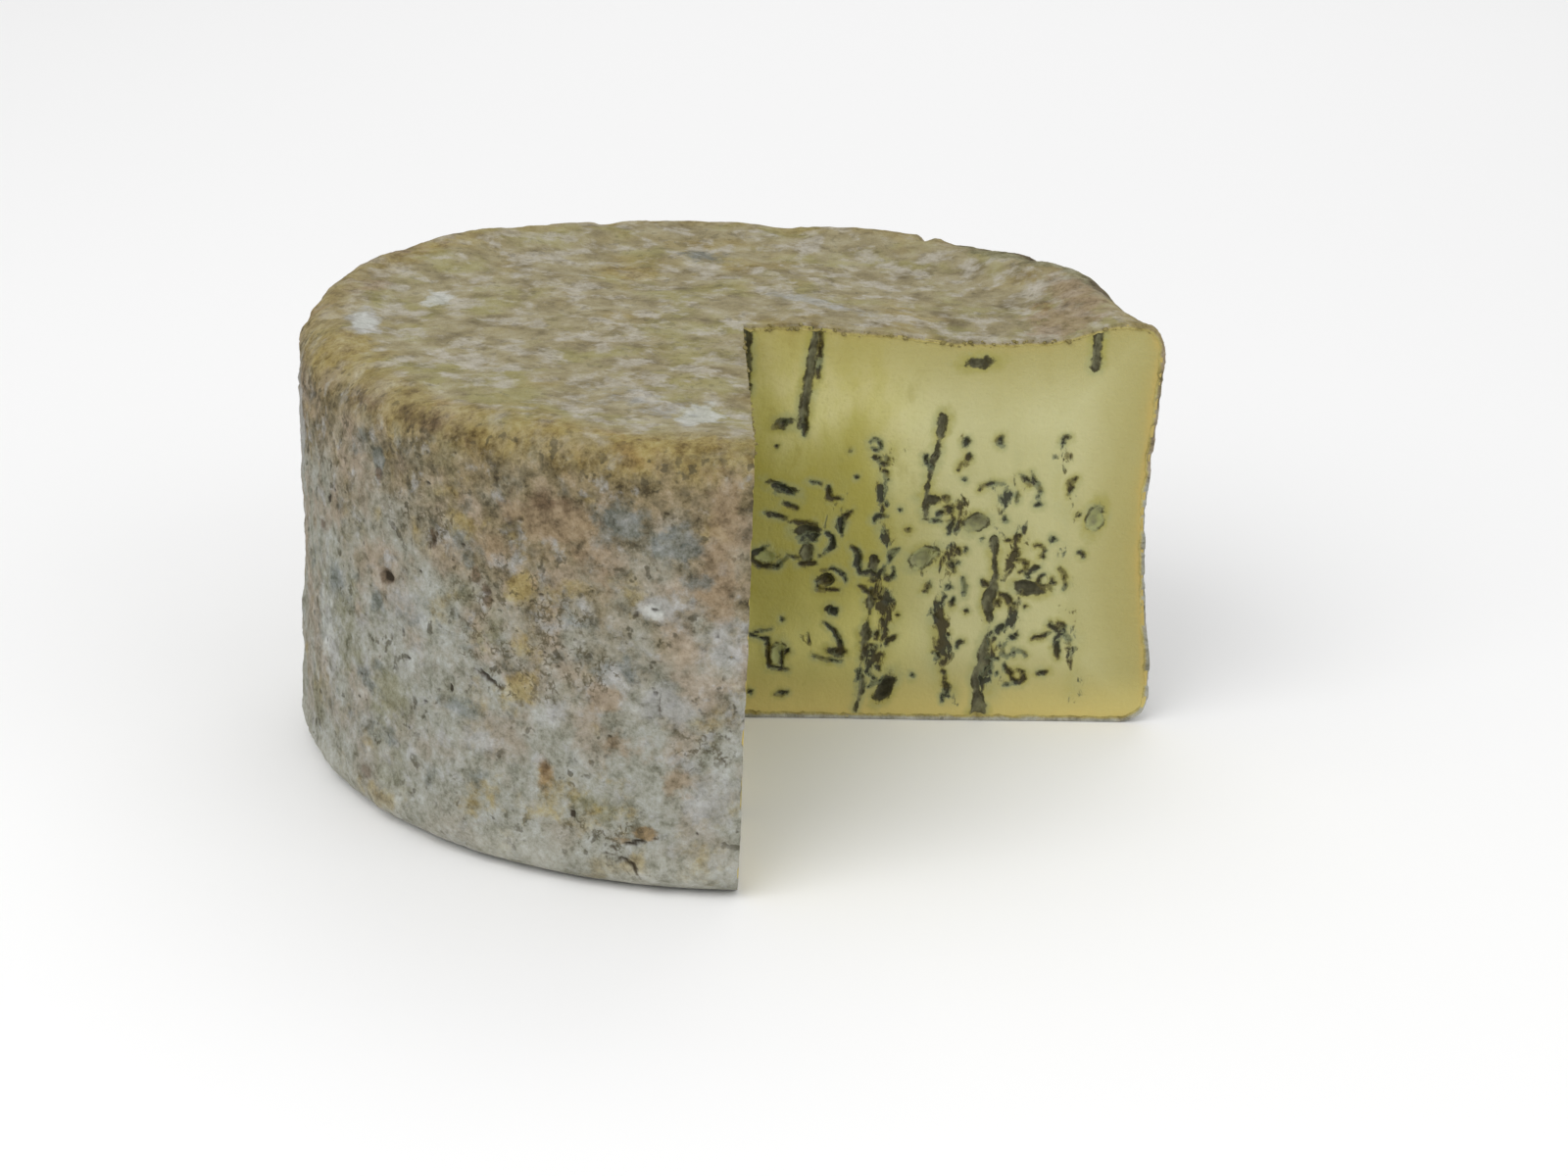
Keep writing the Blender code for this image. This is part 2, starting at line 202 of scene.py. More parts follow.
# How finely the meshes are divided
FULL_SWEEP = math.radians(270)
FRONT_SHARE = 0.46
COLUMNS = 512
MIDDLE_COLUMNS = 8
TOP_THINNING = 0.45
SIDE_ROWS = 92
EDGE_ROWS = 11
TOP_RING_STEP = 0.00145
BASE_RING_STEP = 0.006
WALL_COLUMNS = 46
WALL_START = 1.2
WALL_ROWS = 80
FACE_COLUMNS = 208
FACE_ROWS = 204

# The photograph's camera, fitted to the outline
CAMERA_AZIMUTH = math.radians(-1.818)
CAMERA_ELEVATION = math.radians(19.96)
CAMERA_ROLL = math.radians(1.396)
CAMERA_DISTANCE = 1.1119
CAMERA_LENS = 78.05
CAMERA_SIDESTEP = (0.01475, -0.02002)
AIM_HEIGHT = 0.067


def bell(x, centre, width):
    return math.exp(-(((x - centre) / width) ** 2))


def towards(theta, direction):
    """1 on that side of the wheel, 0 on the far side."""
    return 0.5 + 0.5 * math.cos(theta - direction)


def smoothstep(low, high, x):
    t = min(1.0, max(0.0, (x - low) / (high - low)))
    return t * t * (3 - 2 * t)


def smoothsteps(low, high, x):
    """The same for an array."""
    t = np.clip((x - low) / (high - low), 0.0, 1.0)
    return t * t * (3 - 2 * t)


def plan_scale(theta):
    return 1 + sum(a * math.cos(n * theta) + b * math.sin(n * theta) for n, (a, b) in OUT_OF_ROUND.items())


def lump(point):
    return sum(height * noise.noise(point / size) for size, height in LUMPS)


def side_offset(theta, z):
    depth = WAIST_DEPTH + WAIST_EXTRA * towards(theta, WAIST_EXTRA_TOWARDS) ** 2
    waist = depth * (WAIST_FLARE - math.sin(math.pi * z / WHEEL_HEIGHT) ** 2)
    return waist + SIDE_TAPER * (1 - 2 * z / WHEEL_HEIGHT)


def top_offset(theta, r):
    ridge = RIM_RIDGE + RIM_RIDGE_EXTRA * towards(theta, RIM_RIDGE_TOWARDS) ** RIM_RIDGE_NARROWNESS
    around = Vector((r * math.cos(theta), r * math.sin(theta), 0.0)) / RIM_BUMP_SIZE
    bumps = RIM_BUMP_HEIGHT * noise.noise(around + Vector((0.0, 0.0, RIM_BUMP_SEED)))
    stretches = sum(
        rise * towards(theta, math.radians(direction)) ** narrowness * bell(r, WHEEL_RADIUS, width)
        for direction, narrowness, rise, width in EDGE_STRETCHES
    )
    sag = TOP_SAG * bell(r, TOP_SAG_RADIUS, TOP_SAG_WIDTH) * towards(theta, 0)
    raised = (ridge + bumps) * bell(r, RIM_RIDGE_RADIUS, RIM_RIDGE_WIDTH)
    return raised - sag + stretches + TOP_LEAN * r * math.cos(theta)


def aged_place(theta, r, z):
    """(radius, height) on the aged wheel of a point of the true cylinder."""
    point = Vector((r * math.cos(theta), r * math.sin(theta), z))
    rimward = smoothstep(WHEEL_RADIUS * RIM_ZONE_START, WHEEL_RADIUS, r)
    upward = smoothstep(WHEEL_HEIGHT * TOP_ZONE_START, WHEEL_HEIGHT, z)
    clear_of_base = smoothstep(0.0, EDGE_RADIUS * BASE_ZONE, z)
    height = lump(point)
    new_r = r * plan_scale(theta) + rimward * (side_offset(theta, z) + height * clear_of_base)
    rise = upward * (top_offset(theta, r) + height * (1 - rimward))
    return new_r, z + rise


def left_face_shift(along, z):
    """How far the cut face towards -Y lies from the plane of the apex: it swings out and leans."""
    return along / WHEEL_RADIUS * (KNIFE_SWING - KNIFE_LEAN * (1 - z / WHEEL_HEIGHT))


def knife_waver(place):
    return KNIFE_WAVER * noise.noise(place / KNIFE_WAVER_SIZE)


def right_face(along, z, depth=0.0):
    """A point of the right cut face, sunk by a depth."""
    flat = Vector((APEX.x + along, APEX.y, z))
    return Vector((flat.x, flat.y + knife_waver(flat) + depth, z))


def left_face(along, z, depth=0.0):
    """A point of the left cut face, sunk by a depth."""
    flat = Vector((APEX.x, APEX.y - along, z))
    return Vector((flat.x + left_face_shift(along, z) + knife_waver(flat) - depth, flat.y, z))


def swept(share, r, z, inwards=0.0, proud=0.0):
    """The point of the aged skin at a share of the sweep from the right cut face to the left one."""
    nominal = share * FULL_SWEEP
    new_r, new_z = aged_place(nominal, r, z)
    if inwards:
        step = inward_step(r, z)
        new_r += step[0] * inwards
        new_z += step[1] * inwards
    if new_r < AT_MIDDLE:
        return Vector((APEX.x, APEX.y, new_z))
    start_shift = (right_face(new_r, new_z).y - AXIS.y - proud) / new_r
    end_shift = (left_face(new_r, new_z).x - AXIS.x + proud) / new_r
    start = math.asin(min(SHIFT_LIMIT, max(-SHIFT_LIMIT, start_shift)))
    end = FULL_SWEEP + math.asin(min(SHIFT_LIMIT, max(-SHIFT_LIMIT, end_shift)))
    theta = start + share * (end - start)
    centre = AXIS.lerp(APEX, 1 - smoothstep(0.0, APEX_ZONE, new_r))
    return Vector((centre.x + new_r * math.cos(theta), centre.y + new_r * math.sin(theta), new_z))


def inward_step(r, z):
    """Unit step into the cheese, in (radius, height), from the true cylinder's rounded profile."""
    from_r = max(0.0, r - FLAT_RADIUS)
    from_z = max(0.0, z - (WHEEL_HEIGHT - EDGE_RADIUS)) + min(0.0, z - EDGE_RADIUS)
    size = math.hypot(from_r, from_z) or 1.0
    return -from_r / size, -from_z / size


def profile_point(distance):
    """(r, z) on the true cylinder's profile, at a distance from the middle of the top along it."""
    if distance <= FLAT_RADIUS:
        return distance, WHEEL_HEIGHT
    distance -= FLAT_RADIUS
    if distance <= ARC_LENGTH:
        turn = distance / EDGE_RADIUS
        return FLAT_RADIUS + EDGE_RADIUS * math.sin(turn), WHEEL_HEIGHT - EDGE_RADIUS * (1 - math.cos(turn))
    distance -= ARC_LENGTH
    if distance <= SIDE_LENGTH:
        return WHEEL_RADIUS, WHEEL_HEIGHT - EDGE_RADIUS - distance
    distance -= SIDE_LENGTH
    if distance <= ARC_LENGTH:
        turn = distance / EDGE_RADIUS
        return FLAT_RADIUS + EDGE_RADIUS * math.cos(turn), EDGE_RADIUS * (1 - math.sin(turn))
    return max(0.0, FLAT_RADIUS - (distance - ARC_LENGTH)), 0.0


class Skin:
    """A closed mesh under construction: points, faces, and named values at the points."""

    def __init__(self):
        self.points = []
        self.faces = []

    def add(self, point):
        self.points.append(point)
        return len(self.points) - 1

    def chain(self, points):
        return [self.add(point) for point in points]

    def bridge(self, one, other, one_at=None, other_at=None):
        """Faces between two chains, whose points may differ in number and in how far along they stand."""
        if len(one) == len(other) and one_at is None:
            for i in range(len(one) - 1):
                self.face(one[i], one[i + 1], other[i + 1], other[i])
            return
        one_at = one_at or [i / (len(one) - 1) for i in range(len(one))]
        other_at = other_at or [j / (len(other) - 1) for j in range(len(other))]
        i = j = 0
        while i < len(one) - 1 or j < len(other) - 1:
            next_i = one_at[i + 1] if i < len(one) - 1 else math.inf
            next_j = other_at[j + 1] if j < len(other) - 1 else math.inf
            if next_i <= next_j:
                self.face(one[i], one[i + 1], other[j])
                i += 1
            else:
                self.face(one[i], other[j + 1], other[j])
                j += 1

    def bridge_all(self, chains):
        for one, other in zip(chains, chains[1:]):
            self.bridge(one, other)

    def face(self, *corners):
        distinct = list(dict.fromkeys(corners))
        if len(distinct) > 2:
            self.faces.append(distinct)

    def mesh(self, name):
        made = bpy.data.meshes.new(name)
        made.from_pydata([tuple(point) for point in self.points], [], self.faces)
        work = bmesh.new()
        work.from_mesh(made)
        bmesh.ops.recalc_face_normals(work, faces=work.faces[:])
        work.to_mesh(made)
        work.free()
        return made


def add_values(mesh, name, values):
    layer = mesh.attributes.new(name, "FLOAT", "POINT")
    layer.data.foreach_set("value", np.asarray(values, dtype=np.float32))


def column_share(column, columns):
    """Share of the sweep at a column: the columns are closer together round the front of the wheel."""
    t = column / columns
    front_start = 1 - FRONT_SHARE
    if t <= front_start:
        return t / front_start * 2 / 3
    return 2 / 3 + (t - front_start) / FRONT_SHARE / 3


def rind_rows():
    """(distance along the profile, columns) of each row of the rind's outer skin, between the middles."""
    rows = []
    rings = round(FLAT_RADIUS / TOP_RING_STEP)
    for ring in range(1, rings + 1):
        r = FLAT_RADIUS * ring / rings
        columns = COLUMNS
        while columns > MIDDLE_COLUMNS and r < WHEEL_RADIUS * TOP_THINNING * columns / COLUMNS:
            columns //= 2
        rows.append((r, columns))
    for start, length, count in (
        (FLAT_RADIUS, ARC_LENGTH, EDGE_ROWS),
        (FLAT_RADIUS + ARC_LENGTH, SIDE_LENGTH, SIDE_ROWS),
        (FLAT_RADIUS + ARC_LENGTH + SIDE_LENGTH, ARC_LENGTH, EDGE_ROWS),
    ):
        rows += [(start + length * row / count, COLUMNS) for row in range(1, count + 1)]
    rings = round(FLAT_RADIUS / BASE_RING_STEP)
    columns = COLUMNS // 4
    for ring in range(1, rings):
        r = FLAT_RADIUS * (1 - ring / rings)
        while columns > MIDDLE_COLUMNS and r < WHEEL_RADIUS * columns / COLUMNS:
            columns //= 2
        rows.append((PROFILE_LENGTH - r, columns))
    return rows


def side_pits():
    """(direction, z, half width, half height, tilt) of each pit in the side, as in the solid."""
    draw = random.Random(PIT_SEED)
    pits = list(PLACED_PITS)
    for _ in range(PIT_COUNT):
        direction = draw.uniform(*PIT_DIRECTIONS)
        z = draw.uniform(*PIT_HEIGHTS)
        size = draw.uniform(*PIT_SIZES)
        pits.append((direction, z, size * draw.uniform(*PIT_STRETCH), size, draw.uniform(0, 180)))
    return pits


def needle_channels(face):
    """(along at the top, along at the foot, z at the top, z at the foot), as in the solid."""
    draw = random.Random(FACE_SEEDS[face])
    channels = list(PLACED_CHANNELS[face])
    for number in range(1, NEEDLE_COUNT + 1):
        along = number * NEEDLE_SPACING + draw.uniform(-NEEDLE_SCATTER, NEEDLE_SCATTER)
        drift = draw.uniform(*NEEDLE_DRIFT)
        upper = (draw.uniform(*UPPER_TOP), draw.uniform(*UPPER_FOOT))
        lower_top = draw.uniform(*LOWER_TOP)
        if any(abs(along - other[0]) < NEEDLE_SPACING / 2 for other in channels):
            continue
        if number % 2:
            channels.append((along, along + drift, *upper))
        else:
            channels.append((along, along + drift, lower_top, PAST_BASE))
    return channels


def hollows(face):
    """(along, z, half length, half width, tilt), as in the solid."""
    draw = random.Random(FACE_SEEDS[face])
    made = list(PLACED_HOLLOWS[face])
    while len(made) < HOLLOW_COUNTS[face]:
        along = draw.uniform(*HOLLOW_ALONG)
        z = VEINED_FOOT + VEINED_HEIGHT * draw.betavariate(*VEINED_SPREAD)
        length = draw.uniform(*HOLLOW_SIZES)
        width = length * draw.uniform(*HOLLOW_SLIMNESS)
        tilt = draw.uniform(0, 180)
        if all(math.hypot(along - other[0], z - other[1]) > HOLLOW_SPACING for other in made):
            made.append((along, z, length, width, tilt))
    return made


def make_rind(material):
    """The rind: a closed shell with a fine outer skin and a coarse inner one."""
    skin = Skin()
    outer_info = []

    def outer_point(share, r, z, proud=0.0):
        outer_info.append((share, r, z))
        return skin.add(swept(share, r, z, proud=proud))

    middle_top = outer_point(0.5, 0.0, WHEEL_HEIGHT)
    rows = []
    for distance, columns in rind_rows():
        r, z = profile_point(distance)
        row = []
        for column in range(columns + 1):
            proud = CUT_PROUD if column in (0, columns) else 0.0
            row.append(outer_point(column_share(column, columns), r, z, proud))
        rows.append(row)
    middle_base = outer_point(0.5, 0.0, 0.0)
    middle_count = MIDDLE_COLUMNS + 1
    skin.bridge_all([[middle_top] * middle_count, *rows, [middle_base] * middle_count])

    inner_top = skin.add(swept(0.5, 0.0, WHEEL_HEIGHT) - Vector((0, 0, CUT_THICKNESS)))
    inner_base = skin.add(swept(0.5, 0.0, 0.0) + Vector((0, 0, CUT_THICKNESS)))
    walls = []
    for column in range(WALL_COLUMNS + 1):
        share = wall_share(column)
        at_cut = column in (0, WALL_COLUMNS)
        count = WALL_ROWS * 4 if at_cut else WALL_ROWS
        proud = CUT_PROUD if at_cut else 0.0
        deep = wall_depth(share, CUT_THICKNESS, DEEP_THICKNESS)
        points = []
        for row in range(1, count):
            r, z = profile_point(PROFILE_LENGTH * row / count)
            thickness = deep * ragged(row, share) if at_cut else deep
            points.append(swept(share, r, z, inwards=thickness, proud=proud))
        walls.append([inner_top, *skin.chain(points), inner_base])
    skin.bridge_all(walls)
    edge_at = [0.0, *(distance / PROFILE_LENGTH for distance, _ in rind_rows()), 1.0]
    for side, wall in ((0, walls[0]), (-1, walls[-1])):
        edge = [middle_top, *(row[side] for row in rows), middle_base]
        skin.bridge(edge, wall, edge_at, [step / (len(wall) - 1) for step in range(len(wall))])

    mesh = skin.mesh("rind")
    relieve_rind(mesh, np.array(outer_info), len(outer_info))
    return finished_piece("rind", mesh, material, 50)


def ragged(row, share):
    """How many times as thick the rind is at a row of its edge in a cut."""
    times = RAGGED_MEAN
    for height, pace, seed in RAGGED_WAVES:
        times += height * noise.noise(Vector((row * pace, 9.0 * share, seed)))
    return times


def wall_share(column):
    """Share of the sweep of a hidden wall's column: the first and last are close to the cuts."""
    near = WALL_START * END_ZONE / FULL_SWEEP
    if column == 0:
        return 0.0
    if column == WALL_COLUMNS:
        return 1.0
    return near + (1 - 2 * near) * (column - 1) / (WALL_COLUMNS - 2)


def wall_depth(share, at_cut, elsewhere):
    from_cut = min(share, 1 - share) * FULL_SWEEP
    return at_cut + (elsewhere - at_cut) * smoothstep(0.0, END_ZONE, from_cut)


def new_piece(name, mesh):
    piece = bpy.data.objects.new(name, mesh)
    bpy.context.scene.collection.objects.link(piece)
    return piece


def finished_piece(name, mesh, material, sharp_degrees):
    """The piece of a mesh, smooth but for its edges that are sharper than an angle."""
    mesh.materials.append(material)
    mesh.shade_smooth()
    mesh.set_sharp_from_angle(angle=math.radians(sharp_degrees))
    return new_piece(name, mesh)


def read_vectors(mesh, name):
    """The places ("co") or the normals ("normal") of a mesh's points, a row for each."""
    vectors = np.empty(len(mesh.vertices) * 3)
    mesh.vertices.foreach_get(name, vectors)
    return vectors.reshape(-1, 3)


def oval_reach(wide, tall, half_wide, half_tall, tilt):
    """0 at the middle of a tilted oval and 1 on its edge, for arrays of distances from the middle."""
    turn = math.radians(tilt)
    across = wide * math.cos(turn) + tall * math.sin(turn)
    up = tall * math.cos(turn) - wide * math.sin(turn)
    return np.hypot(across / half_wide, up / half_tall)


def noises(points, size, seed=0.0, octaves=1):
    """Blender's noise at each point, as an array."""
    shift = Vector((seed * 1.7, seed * 2.3, seed * 3.1))
    if octaves == 1:
        return np.array([noise.noise(Vector(p) / size + shift) for p in points])
    return np.array([noise.fractal(Vector(p) / size + shift, 0.9, 2.1, octaves) for p in points])


# Sizes and heights of the rind's fine relief: broad knobs, grain, and flat scabs
KNOB_SIZE = 0.0080
GRAIN_SIZE = 0.0034
SCAB_SIZE = 0.0130
KNOB_HEIGHT = 0.00050
GRAIN_HEIGHT = 0.00046
SCAB_HEIGHT = 0.00032
SCAB_EDGE = (0.12, 0.20)
CRACK_DEPTH = 0.0004
# Where tan reaches further down the side: direction in degrees, how much, and how far round
WARM_TOWARDS = -98
WARM_SHARE = 0.24
WARM_REACH = 0.56
# The golden band at the rim and the nicks: the radii and the depths below the top between which they grow
RIM_BAND_RADII = (0.119, 0.129)
RIM_BAND_DEPTHS = (0.0122, 0.0035)
NICK_RADII = (0.122, 0.131)
NICK_DEPTHS = (0.016, 0.007)
# The dark band below the rim: the heights between which it starts, and those between which it ends
UMBER_FOOT = (0.094, 0.110)
UMBER_TOP = (0.1345, 0.1270)
CRACK_EDGE = (0.0008, -0.0004)
# Chips in the rind along the cuts
CHIP_SIZE = 0.0036
CHIP_EDGE = (0.10, 0.38)
CHIP_DEPTH = 0.0006
CHIP_REACH = 0.0022


def relieve_rind(mesh, info, outer_count):
    """Moves the outer skin by the rind's fine relief and notes the values that its colours follow."""
    count = len(mesh.vertices)
    points = read_vectors(mesh, "co")
    normals = read_vectors(mesh, "normal")
    outer = slice(0, outer_count)
    share, r, z = info.T
    theta = np.arctan2(points[outer, 1] - AXIS.y, points[outer, 0] - AXIS.x)
    theta = np.mod(theta + END_ZONE, math.tau) - END_ZONE
    from_cut = np.minimum(share, 1 - share) * FULL_SWEEP * np.maximum(r, 0.001)
    on_top = smoothsteps(WHEEL_HEIGHT - EDGE_RADIUS * 1.1, WHEEL_HEIGHT - EDGE_RADIUS * 0.1, z)
    on_top *= 1 - smoothsteps(FLAT_RADIUS, WHEEL_RADIUS, r)
    on_base = 1 - smoothsteps(0.0, EDGE_RADIUS * 0.6, z)
    below_top = WHEEL_HEIGHT - z
    near_rim = smoothsteps(*RIM_BAND_RADII, r) * smoothsteps(*RIM_BAND_DEPTHS, below_top)

    places = points[outer]
    knobs = noises(places, KNOB_SIZE, 1.0)
    grains = noises(places, GRAIN_SIZE, 2.0, octaves=3)
    scabs = noises(places, SCAB_SIZE, 3.0, octaves=2)
    height = KNOB_HEIGHT * knobs + GRAIN_HEIGHT * grains + SCAB_HEIGHT * smoothsteps(*SCAB_EDGE, scabs)
    height *= 1 - 0.5 * on_top
    height *= 1 - on_base

    pit = np.zeros(outer_count)
    for direction, pit_z, half_width, half_height, tilt in side_pits():
        turn = math.radians(direction) % math.tau
        reach = oval_reach((theta - turn) * WHEEL_RADIUS, z - pit_z, half_width, half_height, tilt)
        near = (reach < PIT_REACH) & (r > WHEEL_RADIUS * RIM_ZONE_START)
        bowl = np.where(near, 1 - smoothsteps(*PIT_BOWL, reach), 0.0)
        narrow, long = sorted((half_width, half_height))
        darkness = SLOT_DARKNESS if long > SLOT_SHAPE * narrow else 1.0
        pit = np.maximum(pit, np.where(near, darkness * (1 - smoothsteps(*PIT_SHADE, reach)), 0.0))
        height -= bowl * narrow * PIT_DEPTH
    near_edge = smoothsteps(*NICK_RADII, r) * smoothsteps(*NICK_DEPTHS, below_top)
    for direction, half_width, nick_depth in RIM_NICKS:
        wide = (theta - math.radians(direction)) * WHEEL_RADIUS / half_width
        height -= nick_depth * near_edge * np.exp(-(np.abs(wide) ** 3))
    crack = crack_distance(theta, r, z)
    height -= CRACK_DEPTH * smoothsteps(*CRACK_EDGE, crack)
    small, depth = small_pits(theta, r, z)
    pit = np.maximum(pit, small)
    height -= depth

    height *= smoothsteps(0.0, 0.003, from_cut) * 0.65 + 0.35
    chips = smoothsteps(*CHIP_EDGE, noises(places, CHIP_SIZE, 4.0, octaves=2))
    height -= CHIP_DEPTH * chips * smoothsteps(CHIP_REACH, 0.0, from_cut) * smoothsteps(0.0, 0.006, z)
    height[0] = height[-1] = 0.0
    points[outer] += normals[outer] * height[:, None]
    mesh.vertices.foreach_set("co", points.ravel())

    def values(name, outside, inside=0.0):
        every = np.full(count, inside)
        every[outer] = outside
        add_values(mesh, name, every)

    values("pit", pit)
    values("crack", crack * 1000)
    values("on_top", on_top)
    values("near_rim", near_rim)
    values("umber", smoothsteps(*UMBER_FOOT, z) * smoothsteps(*UMBER_TOP, z))
    turned = np.mod(theta - math.radians(WARM_TOWARDS) + math.pi, math.tau) - math.pi
    values("warmth", WARM_SHARE * np.exp(-((turned / WARM_REACH) ** 2)))
    values("section", 0.0, 1.0)
    for kind in PLACED_PATCHES:
        values(kind, patches(kind, places))


# Patches that stand out, by kind: direction in degrees, z, half width, half height, strength
PLACED_PATCHES = {
    "crackle": (
        (-118, 0.0790, 0.0220, 0.0200, 1.00),
        (-108, 0.0680, 0.0120, 0.0080, 0.90),
        (-106.5, 0.0190, 0.0080, 0.0080, 1.00),
        (-95.5, 0.0470, 0.0070, 0.0060, 1.00),
        (-132, 0.1050, 0.0160, 0.0100, 0.70),
    ),
    "blue": (
        (-151, 0.0715, 0.0110, 0.0060, 0.62),
        (-135, 0.0714, 0.0080, 0.0050, 0.58),
        (-141, 0.0720, 0.0070, 0.0050, 0.60),
        (-126, 0.0476, 0.0110, 0.0050, 0.58),
        (-143, 0.0460, 0.0080, 0.0080, 0.50),
        (-158, 0.0600, 0.0200, 0.0300, 0.32),
        (-104.8, 0.1149, 0.0100, 0.0062, 0.80),
        (-98.3, 0.1095, 0.0100, 0.0070, 0.75),
        (-95.0, 0.0985, 0.0060, 0.0040, 0.55),
        (-104.1, 0.0710, 0.0100, 0.0070, 0.45),
        (-111.0, 0.0830, 0.0120, 0.0040, 0.40),
        (-141.2, 0.1170, 0.0035, 0.0050, 0.95),
        (-150.0, 0.0720, 0.0160, 0.0100, 0.45),
        (-140.0, 0.0300, 0.0180, 0.0060, 0.40),
    ),
    "mustard": (
        (-95, 0.0120, 0.0090, 0.0110, 0.42),
        (-102.5, 0.0100, 0.0060, 0.0050, 0.55),
        (-141.0, 0.0078, 0.0110, 0.0050, 0.75),
        (-117.2, 0.0586, 0.0090, 0.0080, 0.62),
        (-116.8, 0.0735, 0.0060, 0.0050, 0.60),
        (-117.4, 0.0906, 0.0050, 0.0060, 0.80),
        (-125.2, 0.1071, 0.0100, 0.0080, 0.45),
        (-110.0, 0.0280, 0.0260, 0.0120, 0.42),
        (-122.0, 0.0200, 0.0160, 0.0100, 0.38),
    ),
    "white": (
        # this white patch and the pale one at -154 lighten the left edge of the side, where it turns from
        # the lamps: partly painted light
        (-156, 0.0540, 0.0110, 0.0180, 0.46),
        (-100.6, 0.0891, 0.0044, 0.0032, 0.60),
    ),
    "pale": (
        (-99, 0.0600, 0.0090, 0.0070, 0.80),
        (-107, 0.0620, 0.0140, 0.0070, 0.50),
        (-123, 0.0400, 0.0090, 0.0050, 0.60),
        (-173, 0.1080, 0.0140, 0.0220, 0.80),
        (-140, 0.0300, 0.0400, 0.0160, 0.32),
        (-100.5, 0.0900, 0.0060, 0.0040, 0.95),
        (-110.7, 0.0870, 0.0130, 0.0050, 0.45),
        (-92.2, 0.0797, 0.0100, 0.0120, 0.60),
        (-120.2, 0.0975, 0.0045, 0.0030, 0.85),
        (-113.0, 0.0540, 0.0080, 0.0060, 0.55),
        (-93.5, 0.0321, 0.0100, 0.0090, 0.70),
        (-104.1, 0.0680, 0.0100, 0.0060, 0.50),
        (-154.0, 0.0480, 0.0120, 0.0300, 0.45),
        (-136.0, 0.0700, 0.0200, 0.0200, 0.40),
    ),
    "orange": (
        (-113, 0.1120, 0.0170, 0.0080, 0.85),
        (-93, 0.1000, 0.0070, 0.0240, 0.60),
        (-92.6, 0.1180, 0.0060, 0.0180, 0.80),
        (-94.2, 0.0975, 0.0060, 0.0090, 0.80),
        (-106.5, 0.0606, 0.0070, 0.0050, 0.80),
        (-110.0, 0.1030, 0.0300, 0.0160, 0.34),
        (-121.0, 0.1010, 0.0080, 0.0070, 0.65),
        (-97.4, 0.0372, 0.0070, 0.0060, 0.55),
        (-104.0, 0.0450, 0.0200, 0.0120, 0.36),
    ),
    "rust": (
        (-101.2, 0.0200, 0.0036, 0.0022, 1.00),
        (-104.0, 0.0170, 0.0040, 0.0016, 0.75),
        (-113.9, 0.0352, 0.0032, 0.0060, 0.65),
    ),
    "brown": (
        (-139.2, 0.0813, 0.0042, 0.0028, 0.95),
        (-123.8, 0.0912, 0.0028, 0.0026, 0.95),
        (-122.2, 0.0874, 0.0022, 0.0022, 0.90),
        (-122.1, 0.0838, 0.0018, 0.0022, 0.90),
        (-130.5, 0.0985, 0.0014, 0.0045, 0.70),
        (-156.1, 0.0863, 0.0030, 0.0020, 0.80),
        (-144.0, 0.0150, 0.0040, 0.0036, 0.60),
        (-140.9, 0.1130, 0.0030, 0.0022, 0.75),
        (-145.0, 0.1335, 0.0120, 0.0035, 0.50),
        (-134.0, 0.1335, 0.0150, 0.0035, 0.62),
        (-126.0, 0.1325, 0.0110, 0.0035, 0.55),
        (-114.1, 0.1175, 0.0200, 0.0060, 0.42),
        (-113.9, 0.0352, 0.0020, 0.0040, 0.60),
    ),
    "olive": (
        (-139.2, 0.0440, 0.0130, 0.0120, 0.70),
        (-150.0, 0.0600, 0.0240, 0.0260, 0.45),
        (-106.8, 0.0270, 0.0160, 0.0060, 0.50),
        (-122.0, 0.0730, 0.0080, 0.0140, 0.45),
    ),
}
# The same on the top, with the radius in place of z
PLACED_TOP_PATCHES = {
    "olive": (
        (26, 0.1310, 0.030, 0.006, 0.8),
        (42, 0.1270, 0.030, 0.009, 0.75),
        (21, 0.1290, 0.020, 0.008, 0.75),
    ),
    "brown": (
        (40, 0.1315, 0.022, 0.004, 0.7),
        (20, 0.1300, 0.012, 0.004, 0.7),
        (46, 0.1310, 0.030, 0.005, 0.45),
    ),
    "mustard": (
        (-162.5, 0.1300, 0.012, 0.006, 1.0),
        (-163, 0.1275, 0.012, 0.009, 1.0),
        (-97, 0.1310, 0.014, 0.006, 0.8),
        (150, 0.1260, 0.030, 0.008, 0.5),
        (120, 0.0740, 0.016, 0.012, 0.6),
    ),
    "orange": (
        (8, 0.1090, 0.018, 0.013, 0.85),
        (17, 0.1190, 0.022, 0.008, 0.75),
        (146, 0.1310, 0.020, 0.008, 0.5),
        (168, 0.1230, 0.014, 0.008, 0.5),
    ),
    "rust": (
        (17, 0.1061, 0.007, 0.006, 0.6),
    ),
    "blue": (
        (99, 0.0900, 0.012, 0.010, 0.55),
    ),
    "white": (
        (-98, 0.0990, 0.006, 0.013, 1.1),
        (-174, 0.1190, 0.012, 0.005, 0.7),
        (168, 0.1000, 0.012, 0.006, 0.7),
    ),
    "pale": (
        (-108, 0.0920, 0.030, 0.016, 0.42),
        (-174, 0.1190, 0.016, 0.006, 0.8),
        (55, 0.0400, 0.026, 0.006, 0.6),
    ),
}
